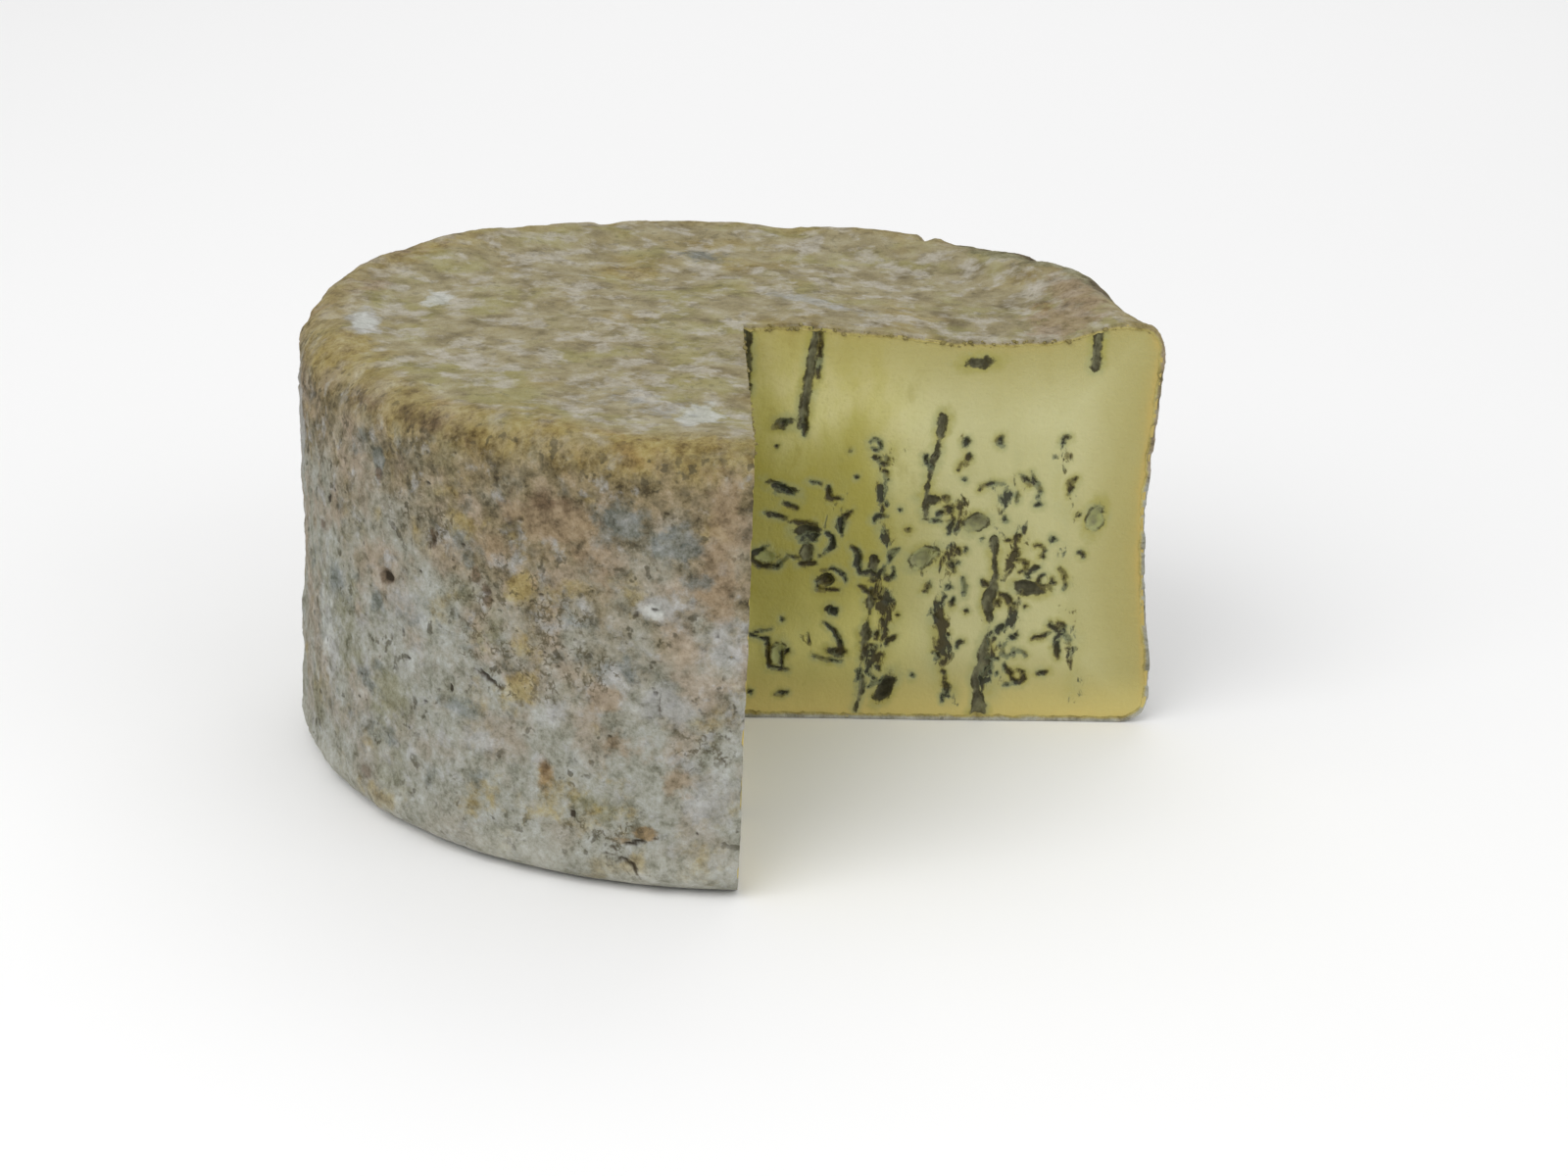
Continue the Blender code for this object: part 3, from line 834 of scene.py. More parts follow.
# Thin cracks of the rind: the (direction in degrees, z) of each point, and the half width, below 0 if faint
CRACKS = (
    (((-124.2, 0.0617), (-122.4, 0.0598), (-120.0, 0.0574)), 0.0002),
    (((-105.2, 0.0150), (-102.1, 0.0172), (-99.8, 0.0192)), 0.0002),
    (((-106.4, 0.0129), (-104.5, 0.0116), (-102.7, 0.0100), (-101.8, 0.0054)), 0.0001),
    (((-106.0, 0.0085), (-104.2, 0.0100), (-103.0, 0.0060), (-100.6, 0.0070)), -0.0002),
    (((-104.8, 0.0150), (-104.6, 0.0110), (-105.4, 0.0080)), -0.0002),
    (((-96.8, 0.0447), (-95.1, 0.0474), (-92.9, 0.0463), (-91.9, 0.0425), (-92.8, 0.0383)), -0.0003),
    (((-99.6, 0.0651), (-99.9, 0.0600), (-99.6, 0.0559)), -0.0002),
    (((-129.6, 0.1015), (-130.4, 0.0985), (-131.2, 0.0950)), 0.0004),
)
CRACK_COUNT = 30
CRACK_SEED = 77
CRACK_DIRECTIONS = (4, 200)
CRACK_HEIGHTS = (0.012, 0.122)
CRACK_HEADINGS = (-0.5, 1.2)
CRACK_STEPS = (0.0012, 0.0026)
CRACK_WIDTHS = (-0.0007, 0.0000)
DRAWN_PATCHES = 46
DRAWN_KINDS = ("blue", "orange", "olive", "brown", "pale")
DRAWN_DIRECTIONS = (5, 195)
DRAWN_HEIGHTS = (0.010, 0.125)
BLUE_HEIGHTS = (0.070, 0.125)
ORANGE_HEIGHTS = (0.095, 0.125)
DRAWN_SIZES = (0.004, 0.013)
DRAWN_STRETCH = (0.8, 1.6)
DRAWN_STRENGTHS = (0.5, 0.9)
PATCH_SEED = 23
PATCH_THICKNESS = 0.012


def drawn_patches():
    """More patches like the placed ones, over the rest of the rind."""
    draw = random.Random(PATCH_SEED)
    made = []
    for number in range(DRAWN_PATCHES):
        kind = DRAWN_KINDS[number % len(DRAWN_KINDS)]
        direction = draw.uniform(*DRAWN_DIRECTIONS)
        z = draw.uniform(*DRAWN_HEIGHTS)
        if kind == "blue":
            z = draw.uniform(*BLUE_HEIGHTS)
        if kind == "orange" and draw.random() < 0.5:
            z = draw.uniform(*ORANGE_HEIGHTS)
        size = draw.uniform(*DRAWN_SIZES)
        half_width = size * draw.uniform(*DRAWN_STRETCH)
        made.append((kind, direction, z, half_width, size, draw.uniform(*DRAWN_STRENGTHS)))
    return made


def patches(kind, places):
    """How far each place lies inside the patches of one kind: 1 in the middle of one, 0 outside."""
    strength = np.zeros(len(places))
    drawn = [patch for drawn_kind, *patch in drawn_patches() if drawn_kind == kind]
    for direction, z, *shape in (*PLACED_PATCHES[kind], *drawn):
        turn = math.radians(direction)
        strength = np.maximum(strength, patch_strength(places, turn, WHEEL_RADIUS, z, *shape, on_top=False))
    for direction, r, *shape in PLACED_TOP_PATCHES.get(kind, ()):
        turn = math.radians(direction)
        strength = np.maximum(strength, patch_strength(places, turn, r, WHEEL_HEIGHT, *shape, on_top=True))
    return strength


def patch_strength(places, turn, r, z, half_width, half_height, most, on_top):
    turn %= math.tau
    aged_r, aged_z = aged_place(turn, r, z)
    away = places - np.array((AXIS.x + aged_r * math.cos(turn), AXIS.y + aged_r * math.sin(turn), aged_z))
    wide = away @ np.array((-math.sin(turn), math.cos(turn), 0.0)) / half_width
    out = away @ np.array((math.cos(turn), math.sin(turn), 0.0))
    tall, thick = (out, away[:, 2]) if on_top else (away[:, 2], out)
    reach = wide**2 + (tall / half_height) ** 2 + (thick / PATCH_THICKNESS) ** 2
    return most * np.exp(-reach)


def side_cracks():
    """The placed cracks, and drawn ones over the rest of the side."""
    draw = random.Random(CRACK_SEED)
    cracks = list(CRACKS)
    for _ in range(CRACK_COUNT):
        direction = draw.uniform(*CRACK_DIRECTIONS)
        z = draw.uniform(*CRACK_HEIGHTS)
        heading = draw.uniform(*CRACK_HEADINGS)
        points = [(direction, z)]
        for _ in range(draw.randint(2, 5)):
            heading += draw.gauss(0, 0.5)
            step = draw.uniform(*CRACK_STEPS)
            direction += math.degrees(step * math.cos(heading) / WHEEL_RADIUS)
            z -= step * math.sin(heading)
            points.append((direction, z))
        cracks.append((points, draw.uniform(*CRACK_WIDTHS)))
    return cracks


def crack_distance(theta, r, z):
    """Distance outside the side's thin cracks, for arrays of places."""
    field = np.full(theta.shape, FAR)
    wide = theta * WHEEL_RADIUS
    for points, half_width in side_cracks():
        flat = [(math.radians(turn) % math.tau * WHEEL_RADIUS, height) for turn, height in points]
        lower_with(field, wide, z, flat, half_width)
    field[r < WHEEL_RADIUS * SIDE_START] = FAR
    return field


SIDE_START = 0.96
SMALL_PIT_COUNT = 320
SMALL_PIT_SIZES = (0.0006, 0.0012)
SMALL_PIT_STRETCH = (1.0, 2.0)
SMALL_PIT_DEPTH = 0.55
SMALL_PIT_BOWL = (0.3, 1.3)
# Where they lie: turns in radians from the right cut, and shares of the height with how they gather in them
SMALL_PIT_TURNS = (0.03, FULL_SWEEP - 0.02)
SMALL_PIT_LOWEST = 0.03
SMALL_PIT_SPAN = 0.92
SMALL_PIT_SPREAD = (1.9, 1.1)
SEARCH_TURN = 0.03


def small_pits(theta, r, z):
    """(how dark, how deep) the many small pits make each place of the side: most are near the top."""
    draw = random.Random(PIT_SEED + 1)
    dark = np.zeros(len(theta))
    deep = np.zeros(len(theta))
    on_side = np.flatnonzero(r > WHEEL_RADIUS * SIDE_START)
    side_theta = theta[on_side]
    side_z = z[on_side]
    order = np.argsort(side_theta)
    sorted_theta = side_theta[order]
    for _ in range(SMALL_PIT_COUNT):
        turn = draw.uniform(*SMALL_PIT_TURNS)
        pit_z = WHEEL_HEIGHT * (SMALL_PIT_LOWEST + SMALL_PIT_SPAN * draw.betavariate(*SMALL_PIT_SPREAD))
        size = draw.uniform(*SMALL_PIT_SIZES)
        stretch = draw.uniform(*SMALL_PIT_STRETCH)
        first, last = np.searchsorted(sorted_theta, (turn - SEARCH_TURN, turn + SEARCH_TURN))
        near = order[first:last]
        reach = np.hypot(
            (side_theta[near] - turn) * WHEEL_RADIUS / (size * stretch),
            (side_z[near] - pit_z) / size,
        )
        bowl = 1 - smoothsteps(*SMALL_PIT_BOWL, reach)
        where = on_side[near]
        dark[where] = np.maximum(dark[where], bowl * SLOT_DARKNESS)
        deep[where] = np.maximum(deep[where], bowl * size * SMALL_PIT_DEPTH)
    return dark, deep


# Veins seen in the photograph on the right cut face: the points (along, z) of a stroke, and its half width
SEEN_STROKES = (
    (((0.0101, 0.0821), (0.0140, 0.0807), (0.0176, 0.0787)), 0.0009),
    (((0.0290, 0.0814), (0.0290, 0.0777), (0.0332, 0.0767)), 0.0008),
    (((0.0225, 0.0828), (0.0264, 0.0821)), 0.0003),
    (((0.0143, 0.0754), (0.0189, 0.0737)), 0.0005),
    (((0.0085, 0.0720), (0.0120, 0.0712), (0.0156, 0.0703)), 0.0006),
    (((0.0368, 0.0730), (0.0329, 0.0697), (0.0336, 0.0646)), 0.0008),
    (((0.0166, 0.0690), (0.0254, 0.0683)), 0.0005),
    (((0.0189, 0.0639), (0.0254, 0.0626)), 0.0008),
    (((0.0199, 0.0545), (0.0254, 0.0549)), 0.0007),
    (((0.0287, 0.0653), (0.0309, 0.0640), (0.0306, 0.0605), (0.0267, 0.0572)), 0.0006),
    (
        (
            (0.0094, 0.0606),
            (0.0049, 0.0586),
            (0.0042, 0.0559),
            (0.0072, 0.0535),
            (0.0127, 0.0535),
            (0.0160, 0.0572),
            (0.0199, 0.0566),
        ),
        0.0006,
    ),
    (((0.0274, 0.0519), (0.0313, 0.0529), (0.0349, 0.0508), (0.0355, 0.0485)), 0.0005),
    (((0.0257, 0.0488), (0.0267, 0.0458), (0.0329, 0.0455)), 0.0005),
    (((0.0290, 0.0340), (0.0323, 0.0310), (0.0339, 0.0277), (0.0345, 0.0253), (0.0329, 0.0233)), 0.0006),
    (((0.0254, 0.0220), (0.0300, 0.0209), (0.0345, 0.0203)), 0.0004),
    (((0.0046, 0.0293), (0.0101, 0.0277), (0.0108, 0.0182), (0.0169, 0.0172)), 0.0006),
    (((0.0060, 0.0303), (0.0110, 0.0314)), 0.0003),
    (((0.0162, 0.0240), (0.0172, 0.0234)), 0.0012),
    (((0.0150, 0.0230), (0.0152, 0.0180)), 0.0003),
    (((0.0044, 0.0094), (0.0048, 0.0088)), 0.0009),
    (((0.0134, 0.0082), (0.0169, 0.0089)), 0.0009),
    (((0.0147, 0.0352), (0.0149, 0.0348)), 0.0007),
    (((0.0840, 0.1330), (0.0848, 0.1316)), 0.0007),
    (((0.0204, 0.0622), (0.0257, 0.0645)), 0.0012),
    (((0.0265, 0.0483), (0.0306, 0.0490)), 0.0016),
    (((0.0308, 0.0376), (0.0330, 0.0388)), 0.0013),
    (((0.0325, 0.0230), (0.0358, 0.0240)), 0.0014),
    (((0.0025, 0.0562), (0.0082, 0.0596)), 0.0008),
    (((0.0102, 0.1013), (0.0151, 0.1036)), 0.0010),
    (((0.0205, 0.0990), (0.0208, 0.1040)), 0.0009),
    (((0.0245, 0.1180), (0.0252, 0.1330)), 0.0006),
)
# Drawn veins gather along the needles' lines: how many for each line, and how far to the sides
VEIN_LINES = {
    "right": ((0.012, 0.3), (0.029, 0.6), (0.047, 1.0), (0.068, 1.0), (0.089, 0.9), (0.106, 0.5)),
    "left": ((0.013, 0.9), (0.032, 1.0), (0.051, 1.0), (0.070, 0.9), (0.090, 1.0), (0.107, 0.5)),
}
STROKES_PER_LINE = 34
LINE_SPREAD = 0.0046
# Sizes of the drawn veins: curls with their turns in radians, threads and specks
CURL_SIZES = (0.0011, 0.0028)
CURL_FLATNESS = (0.5, 1.0)
CURL_SWEEPS = (1.6, 5.2)
CURL_STEPS = 8
THREAD_STEPS = (0.0006, 0.0018)
SPECK_LENGTHS = (0.0001, 0.0009)
LINE_LEAN = 0.05
VEIN_SEED = 40
# Where drawn veins lie: shares of the height and how they gather in them, and the distances from the apex
VEIN_LOWEST = 0.035
VEIN_SPAN = 0.70
VEIN_HEIGHTS = (1.5, 1.6)
VEIN_ALONG = (0.003, 0.122)
SEEN_ALONG = 0.038
SEEN_BELOW = 0.086
SHOWN_ABOVE = 0.119


def curl(draw, along, z):
    """A hook or an almost closed ring."""
    size = draw.uniform(*CURL_SIZES)
    flat = draw.uniform(*CURL_FLATNESS)
    start = draw.uniform(0, math.tau)
    sweep = draw.uniform(*CURL_SWEEPS)
    lean = draw.uniform(0, math.pi)
    points = []
    for step in range(CURL_STEPS + 1):
        turn = start + sweep * step / CURL_STEPS
        wide = size * math.cos(turn)
        tall = size * flat * math.sin(turn)
        points.append(
            (
                along + wide * math.cos(lean) - tall * math.sin(lean),
                z + wide * math.sin(lean) + tall * math.cos(lean),
            )
        )
    return points


def thread(draw, along, z):
    """A short crooked crack, mostly upright."""
    heading = math.pi / 2 + draw.gauss(0, 0.50)
    step = draw.uniform(*THREAD_STEPS)
    points = [(along, z)]
    for _ in range(draw.randint(2, 6)):
        heading += draw.gauss(0, 0.55)
        points.append((points[-1][0] + step * math.cos(heading), points[-1][1] + step * math.sin(heading)))
    return points


def speck(draw, along, z):
    heading = draw.uniform(0, math.pi)
    length = draw.uniform(*SPECK_LENGTHS)
    return [(along, z), (along + length * math.cos(heading), z + length * math.sin(heading))]


# Kinds of drawn veins: the share of the draws up to which each is taken, and its half widths
VEIN_KINDS = (
    (0.20, curl, (0.0003, 0.0007)),
    (0.70, thread, (0.0003, 0.0010)),
    (1.00, speck, (0.0003, 0.0012)),
)


def vein_strokes(face):
    """(points, half width) of every vein of a cut face."""
    draw = random.Random(VEIN_SEED + FACE_SEEDS[face])
    strokes = list(SEEN_STROKES) if face == "right" else []
    for line_along, share in VEIN_LINES[face]:
        lean = draw.uniform(-LINE_LEAN, LINE_LEAN)
        for _ in range(round(STROKES_PER_LINE * share)):
            z = WHEEL_HEIGHT * (VEIN_LOWEST + VEIN_SPAN * draw.betavariate(*VEIN_HEIGHTS))
            along = line_along + lean * (z - WHEEL_HEIGHT / 2) + draw.gauss(0, LINE_SPREAD)
            kind = draw.random()
            make, widths = next(entry[1:] for entry in VEIN_KINDS if kind < entry[0])
            points = make(draw, along, z)
            width = draw.uniform(*widths)
            seen = face == "right" and along < SEEN_ALONG and z < SEEN_BELOW
            if seen or z > SHOWN_ABOVE or not VEIN_ALONG[0] < along < VEIN_ALONG[1]:
                continue
            strokes.append((points, width))
    return strokes


FAR = 0.006
STROKE_TAPER = 0.8
# How far the edges of the recesses waver, and over what distance
RECESS_WAVER = 0.0009
RECESS_WAVER_SIZE = 0.0034
# Depths of the recesses and how soon they are reached, as shares of their half widths
HOLLOW_WAVER = 0.8
HOLLOW_DEPTH = 1.05
HOLLOW_FILLED = 0.45
HOLLOW_SLOPE = 0.75
CHANNEL_WAVER = 0.6
CHANNEL_DEPTH = 0.75
CHANNEL_SLOPE = 0.8
PLACED_CHANNEL_RADIUS = CHANNEL_RADIUS * 0.80
DRAWN_CHANNEL_RADIUS = CHANNEL_RADIUS * 0.72
VEIN_DEPTH = 0.0009
VEIN_EDGE = (0.0003, -0.0005)
# How far a drawn channel sways from its line, and how much it narrows, with the sizes of both
CHANNEL_SWAY = 0.0020
CHANNEL_SWAY_SIZE = (1.0, 0.0105)
CHANNEL_GAPS = 0.0024
CHANNEL_GAP_SIZE = (1.0, 0.0075)
# Trains of mould along the needles' lines: half width, lean, and the size of their patches
TRAIN_WIDTH = 0.0048
TRAIN_SWAY = 0.0030
TRAIN_PATCH = (0.0090, 0.0130)
TRAIN_SEEN = 0.35
SEEN_EDGE = 0.004
TRAIN_WAVES = (0.009, 0.014)
TRAIN_GAPS = (-0.30, 0.28)
# Where the trains fade: below the top, above the foot, and towards the rind
TRAIN_TOP = (0.110, 0.078)
TRAIN_FOOT = (0.002, 0.012)
TRAIN_END = (0.124, 0.108)


def stroke_distance(along, z, points, half_width, taper=0.0):
    """Distance outside a stroke, negative inside it, for arrays of places: a taper thins both its ends."""
    best = np.full(along.shape, FAR)
    count = len(points) - 1
    for number, ((a0, z0), (a1, z1)) in enumerate(zip(points, points[1:])):
        run = np.array((a1 - a0, z1 - z0))
        size = max(float(run @ run), 1e-12)
        share = np.clip(((along - a0) * run[0] + (z - z0) * run[1]) / size, 0.0, 1.0)
        from_middle = np.abs(2 * (number + share) / count - 1)
        width = half_width * (1 - taper * from_middle**1.5)
        best = np.minimum(best, np.hypot(along - a0 - share * run[0], z - z0 - share * run[1]) - width)
    return best


def lower_with(field, along, z, points, half_width):
    """Lowers the field to the stroke's distance, near the stroke alone."""
    low_a = min(p[0] for p in points) - FAR
    high_a = max(p[0] for p in points) + FAR
    low_z = min(p[1] for p in points) - FAR
    high_z = max(p[1] for p in points) + FAR
    near = (along > low_a) & (along < high_a) & (z > low_z) & (z < high_z)
    away = stroke_distance(along[near], z[near], points, half_width, STROKE_TAPER)
    field[near] = np.minimum(field[near], away)


def hollow_distance(along, z, hollow):
    """Distance outside a hollow's oval, negative inside it."""
    middle_a, middle_z, length, width, tilt = hollow
    return (oval_reach(along - middle_a, z - middle_z, length, width, tilt) - 1) * width


def flat_noises(along, z, sizes, seed):
    """Noise over a cut face, as an array of its shape."""
    places = zip(along.ravel() / sizes[0], z.ravel() / sizes[1])
    return np.array([noise.noise(Vector((a, b, seed))) for a, b in places]).reshape(along.shape)


def train_strength(face, along, z):
    """How thickly mould grows at each place of a cut face, from 0 to 1."""
    draw = random.Random(VEIN_SEED - FACE_SEEDS[face])
    strength = np.zeros(along.shape)
    for line_along, share in VEIN_LINES[face]:
        sway = TRAIN_SWAY * np.sin(z / draw.uniform(*TRAIN_WAVES) + draw.uniform(0, math.tau))
        lean = draw.uniform(-LINE_LEAN, LINE_LEAN) * 2
        across = (along - line_along - lean * (z - WHEEL_HEIGHT / 2) - sway) / TRAIN_WIDTH
        strength = np.maximum(strength, share * np.exp(-(across**2)))
    patchy = flat_noises(along, z, TRAIN_PATCH, 2.0 + FACE_SEEDS[face])
    strength *= smoothsteps(*TRAIN_GAPS, patchy)
    within = smoothsteps(*TRAIN_TOP, z) * smoothsteps(*TRAIN_FOOT, z)
    strength *= within * smoothsteps(*TRAIN_END, along)
    if face == "right":
        seen = smoothsteps(SEEN_ALONG + SEEN_EDGE, SEEN_ALONG - SEEN_EDGE, along)
        strength *= 1 - (1 - TRAIN_SEEN) * seen
    return strength


def face_fields(face, along, z):
    """(vein distance, hollow distance, train of mould, fill, depth) over a cut face, as arrays."""
    draw = random.Random(VEIN_SEED + 2 * FACE_SEEDS[face])
    vein = np.full(along.shape, FAR)
    hollow = np.full(along.shape, FAR)
    depth = np.zeros(along.shape)
    waver = RECESS_WAVER * flat_noises(along, z, (RECESS_WAVER_SIZE, RECESS_WAVER_SIZE), FACE_SEEDS[face])
    for points, half_width in vein_strokes(face):
        lower_with(vein, along, z, points, half_width)
    fill = np.full(along.shape, 0.5)
    for number, found in enumerate(hollows(face)):
        width = found[3]
        share = draw.uniform(0.0, 0.8)
        if face == "right" and number < len(SEEN_FILLS):
            share = SEEN_FILLS[number]
        away = hollow_distance(along, z, found) + waver * HOLLOW_WAVER
        fill = np.where(away < hollow, share, fill)
        hollow = np.minimum(hollow, away)
        sunk = width * (HOLLOW_DEPTH - HOLLOW_FILLED * share)
        depth = np.maximum(depth, smoothsteps(0.0, HOLLOW_SLOPE, -away / width) * sunk)
    for number, (top_along, foot_along, top, foot) in enumerate(needle_channels(face)):
        ends = [(top_along, top), (foot_along, foot)]
        if number < len(PLACED_CHANNELS[face]):
            away = stroke_distance(along, z, ends, PLACED_CHANNEL_RADIUS) + waver * CHANNEL_WAVER
        else:
            sway = CHANNEL_SWAY * flat_noises(along * 0, z, CHANNEL_SWAY_SIZE, number + 0.5)
            gaps = CHANNEL_GAPS * flat_noises(along * 0, z, CHANNEL_GAP_SIZE, number + 30.5)
            away = stroke_distance(along + sway, z, ends, DRAWN_CHANNEL_RADIUS) + waver + gaps
        fill = np.where(away < hollow, CHANNEL_FILL, fill)
        hollow = np.minimum(hollow, away)
        bowl = smoothsteps(0.0, CHANNEL_SLOPE, -away / CHANNEL_RADIUS)
        depth = np.maximum(depth, bowl * CHANNEL_RADIUS * CHANNEL_DEPTH)
    vein_depth = VEIN_DEPTH * smoothsteps(*VEIN_EDGE, vein)
    return vein, hollow, train_strength(face, along, z), fill, np.maximum(depth, vein_depth)


def face_outline(share, start, end, count):
    """(along, z) at even steps along part of a cut face's outline, just inside the rind."""
    overlap = wall_depth(share, CUT_OVERLAP, DEEP_OVERLAP)
    places = []
    for step in range(count + 1):
        r, z = profile_point(start + (end - start) * step / count)
        new_r, new_z = aged_place(share * FULL_SWEEP, r, z)
        inward = inward_step(r, z)
        places.append((max(0.0, new_r + inward[0] * overlap), new_z + inward[1] * overlap))
    return np.array(places)


def face_grid(share):
    """(along, z) of the fine grid of a cut face: rows run up, columns run out from the apex."""
    top_end = FLAT_RADIUS + ARC_LENGTH / 2
    base_start = FLAT_RADIUS + ARC_LENGTH * 1.5 + SIDE_LENGTH
    top = face_outline(share, 0.0, top_end, FACE_COLUMNS)
    outer = face_outline(share, base_start, top_end, FACE_ROWS)
    base = face_outline(share, PROFILE_LENGTH, base_start, FACE_COLUMNS)
    u = np.linspace(0, 1, FACE_COLUMNS + 1)[None, :, None]
    v = np.linspace(0, 1, FACE_ROWS + 1)[:, None, None]
    inner = base[0] + (top[0] - base[0]) * v
    corners = (1 - u) * (1 - v) * base[0] + u * (1 - v) * base[-1] + (1 - u) * v * top[0] + u * v * top[-1]
    return (1 - v) * base[None] + v * top[None] + (1 - u) * inner + u * outer[:, None] - corners


def make_paste(material):
    """The paste: two fine cut faces that meet at the apex, and a coarse skin hidden in the rind."""
    skin = Skin()
    shown = []
    grids = {}
    fields = {}
    for face, share in (("right", 0.0), ("left", 1.0)):
        grids[face] = face_grid(share)
        fields[face] = face_fields(face, grids[face][..., 0], grids[face][..., 1])
    indices = {}
    for face, place in (("right", right_face), ("left", left_face)):
        grid = grids[face]
        *marks, depth = fields[face]
        rows = []
        for v in range(FACE_ROWS + 1):
            row = []
            for u in range(FACE_COLUMNS + 1):
                if u == 0 and face == "left":
                    row.append(indices["right"][v][0])
                    continue
                along, z = grid[v, u]
                point = place(along, z, depth[v, u] + cut_texture(along, z, face))
                if u == 0:
                    point.x -= fields["left"][-1][v, 0]
                row.append(skin.add(point))
                shown.append((*(mark[v, u] for mark in marks), from_rind(grid, v, u)))
            rows.append(row)
        indices[face] = rows
        skin.bridge_all(rows)

    middle_top = indices["right"][-1][0]
    middle_base = indices["right"][0][0]
    walls = [outline_chain(indices["right"])]
    for column in range(1, WALL_COLUMNS):
        share = wall_share(column)
        deep = wall_depth(share, CUT_OVERLAP, DEEP_THICKNESS - DEEP_OVERLAP)
        points = []
        for row in range(1, WALL_ROWS):
            r, z = profile_point(PROFILE_LENGTH * row / WALL_ROWS)
            points.append(swept(share, r, z, inwards=deep))
        walls.append([middle_top, *skin.chain(points), middle_base])
    walls.append(outline_chain(indices["left"]))
    skin.bridge_all(walls)

    mesh = skin.mesh("paste")
    hidden = [unseen for unseen, _ in PASTE_VALUES.values()]
    table = np.array(shown + [hidden] * (len(skin.points) - len(shown)))
    for column, (name, (_, unit)) in zip(table.T, PASTE_VALUES.items()):
        add_values(mesh, name, column * unit)
    from_axis = np.hypot(*(read_vectors(mesh, "co") - np.array(AXIS)).T[:2])
    add_values(mesh, "outward", smoothsteps(*PALER_OUTWARDS, from_axis))
    return finished_piece("paste", mesh, material, 60)


# Values that the paste's colours follow: what the hidden skin has, and the factor to millimetres
PASTE_VALUES = {
    "vein": (FAR, 1000),
    "hollow": (FAR, 1000),
    "train": (0.0, 1),
    "fill": (0.5, 1),
    "from_rind": (0.0, 1000),
}
TOP_RIND_HEADSTART = 0.0022
# Distances from the axis between which the paste turns paler: the darker paste nearer the axis is partly
# painted shade of the notch's inner corner
PALER_OUTWARDS = (0.040, 0.072)


def from_rind(grid, v, u):
    """Distance from the rind at a place of the grid: the rind colours the paste less at the top."""
    along, z = grid[v, u]
    to_outer = grid[v, -1][0] - along
    to_base = z - grid[0, u][1]
    to_top = grid[-1, u][1] - z + TOP_RIND_HEADSTART
    return min(to_outer, to_base, to_top)


def outline_chain(rows):
    """The points round a cut face from the middle of the top, over the rim, to the middle of the base."""
    top = rows[-1]
    outer = [row[-1] for row in reversed(rows[1:-1])]
    return [*top, *outer, *reversed(rows[0])]


# Fine marks of a cut face, the knife's drag, the crumb and soft waves: sizes along and up, seed and height
CUT_MARKS = (
    (0.030, 0.0022, 0.0, 0.00005),
    (0.0022, 0.0022, 0.5, 0.00005),
    (0.011, 0.011, 0.7, 0.00016),
)


def cut_texture(along, z, face):
    """Depth of the fine marks that the knife and the crumb leave on a cut face."""
    depth = 0.0
    for wide, tall, seed, height in CUT_MARKS:
        depth += height * noise.noise(Vector((along / wide, z / tall, FACE_SEEDS[face] + seed)))
    return depth


CRUMB_COUNT = 80
CRUMB_SEED = 61
CRUMB_SIZES = (0.00020, 0.0009)
CRUMB_BROWNNESS = 0.6
CRUMB_DROP = (-0.0006, 0.0016)
CRUMB_PROUD = 0.2
CRUMB_FLATNESS = (0.55, 1.0)
CRUMB_ROUGHNESS = 0.55
CRUMB_LUMPS = 1.1


def make_crumbs(material):
    """Crumbs of rind that the knife left along the top edges of the cut."""
    draw = random.Random(CRUMB_SEED)
    work = bmesh.new()
    for share, place in ((0.0, right_face), (1.0, left_face)):
        edge = face_outline(share, 0.0, FLAT_RADIUS + ARC_LENGTH / 3, CRUMB_COUNT * 4)
        for along, z in draw.sample(list(edge[6:]), CRUMB_COUNT):
            size = CRUMB_SIZES[0] + (CRUMB_SIZES[1] - CRUMB_SIZES[0]) * draw.random() ** 2
            middle = place(along, z - draw.uniform(*CRUMB_DROP), -size * CRUMB_PROUD)
            shift = Vector((draw.uniform(0, 9), draw.uniform(0, 9), draw.uniform(0, 9)))
            flatness = draw.uniform(*CRUMB_FLATNESS)
            lump_points = bmesh.ops.create_icosphere(work, subdivisions=2, radius=1.0)["verts"]
            for vertex in lump_points:
                rough = 1 + CRUMB_ROUGHNESS * noise.noise(vertex.co * CRUMB_LUMPS + shift)
                vertex.co = vertex.co * size * rough
                vertex.co.z *= flatness
                vertex.co += middle
    mesh = bpy.data.meshes.new("crumbs")
    work.to_mesh(mesh)
    work.free()
    add_values(mesh, "section", np.full(len(mesh.vertices), CRUMB_BROWNNESS))
    mesh.materials.append(material)
    mesh.shade_smooth()
    return new_piece("crumbs", mesh)


def tone(red, green, blue):
    """A colour as a screen shows it, 0 to 255, for a shader's socket."""
    shares = [value / 255 for value in (red, green, blue)]
    return (*(((s + 0.055) / 1.055) ** 2.4 if s > 0.04045 else s / 12.92 for s in shares), 1.0)


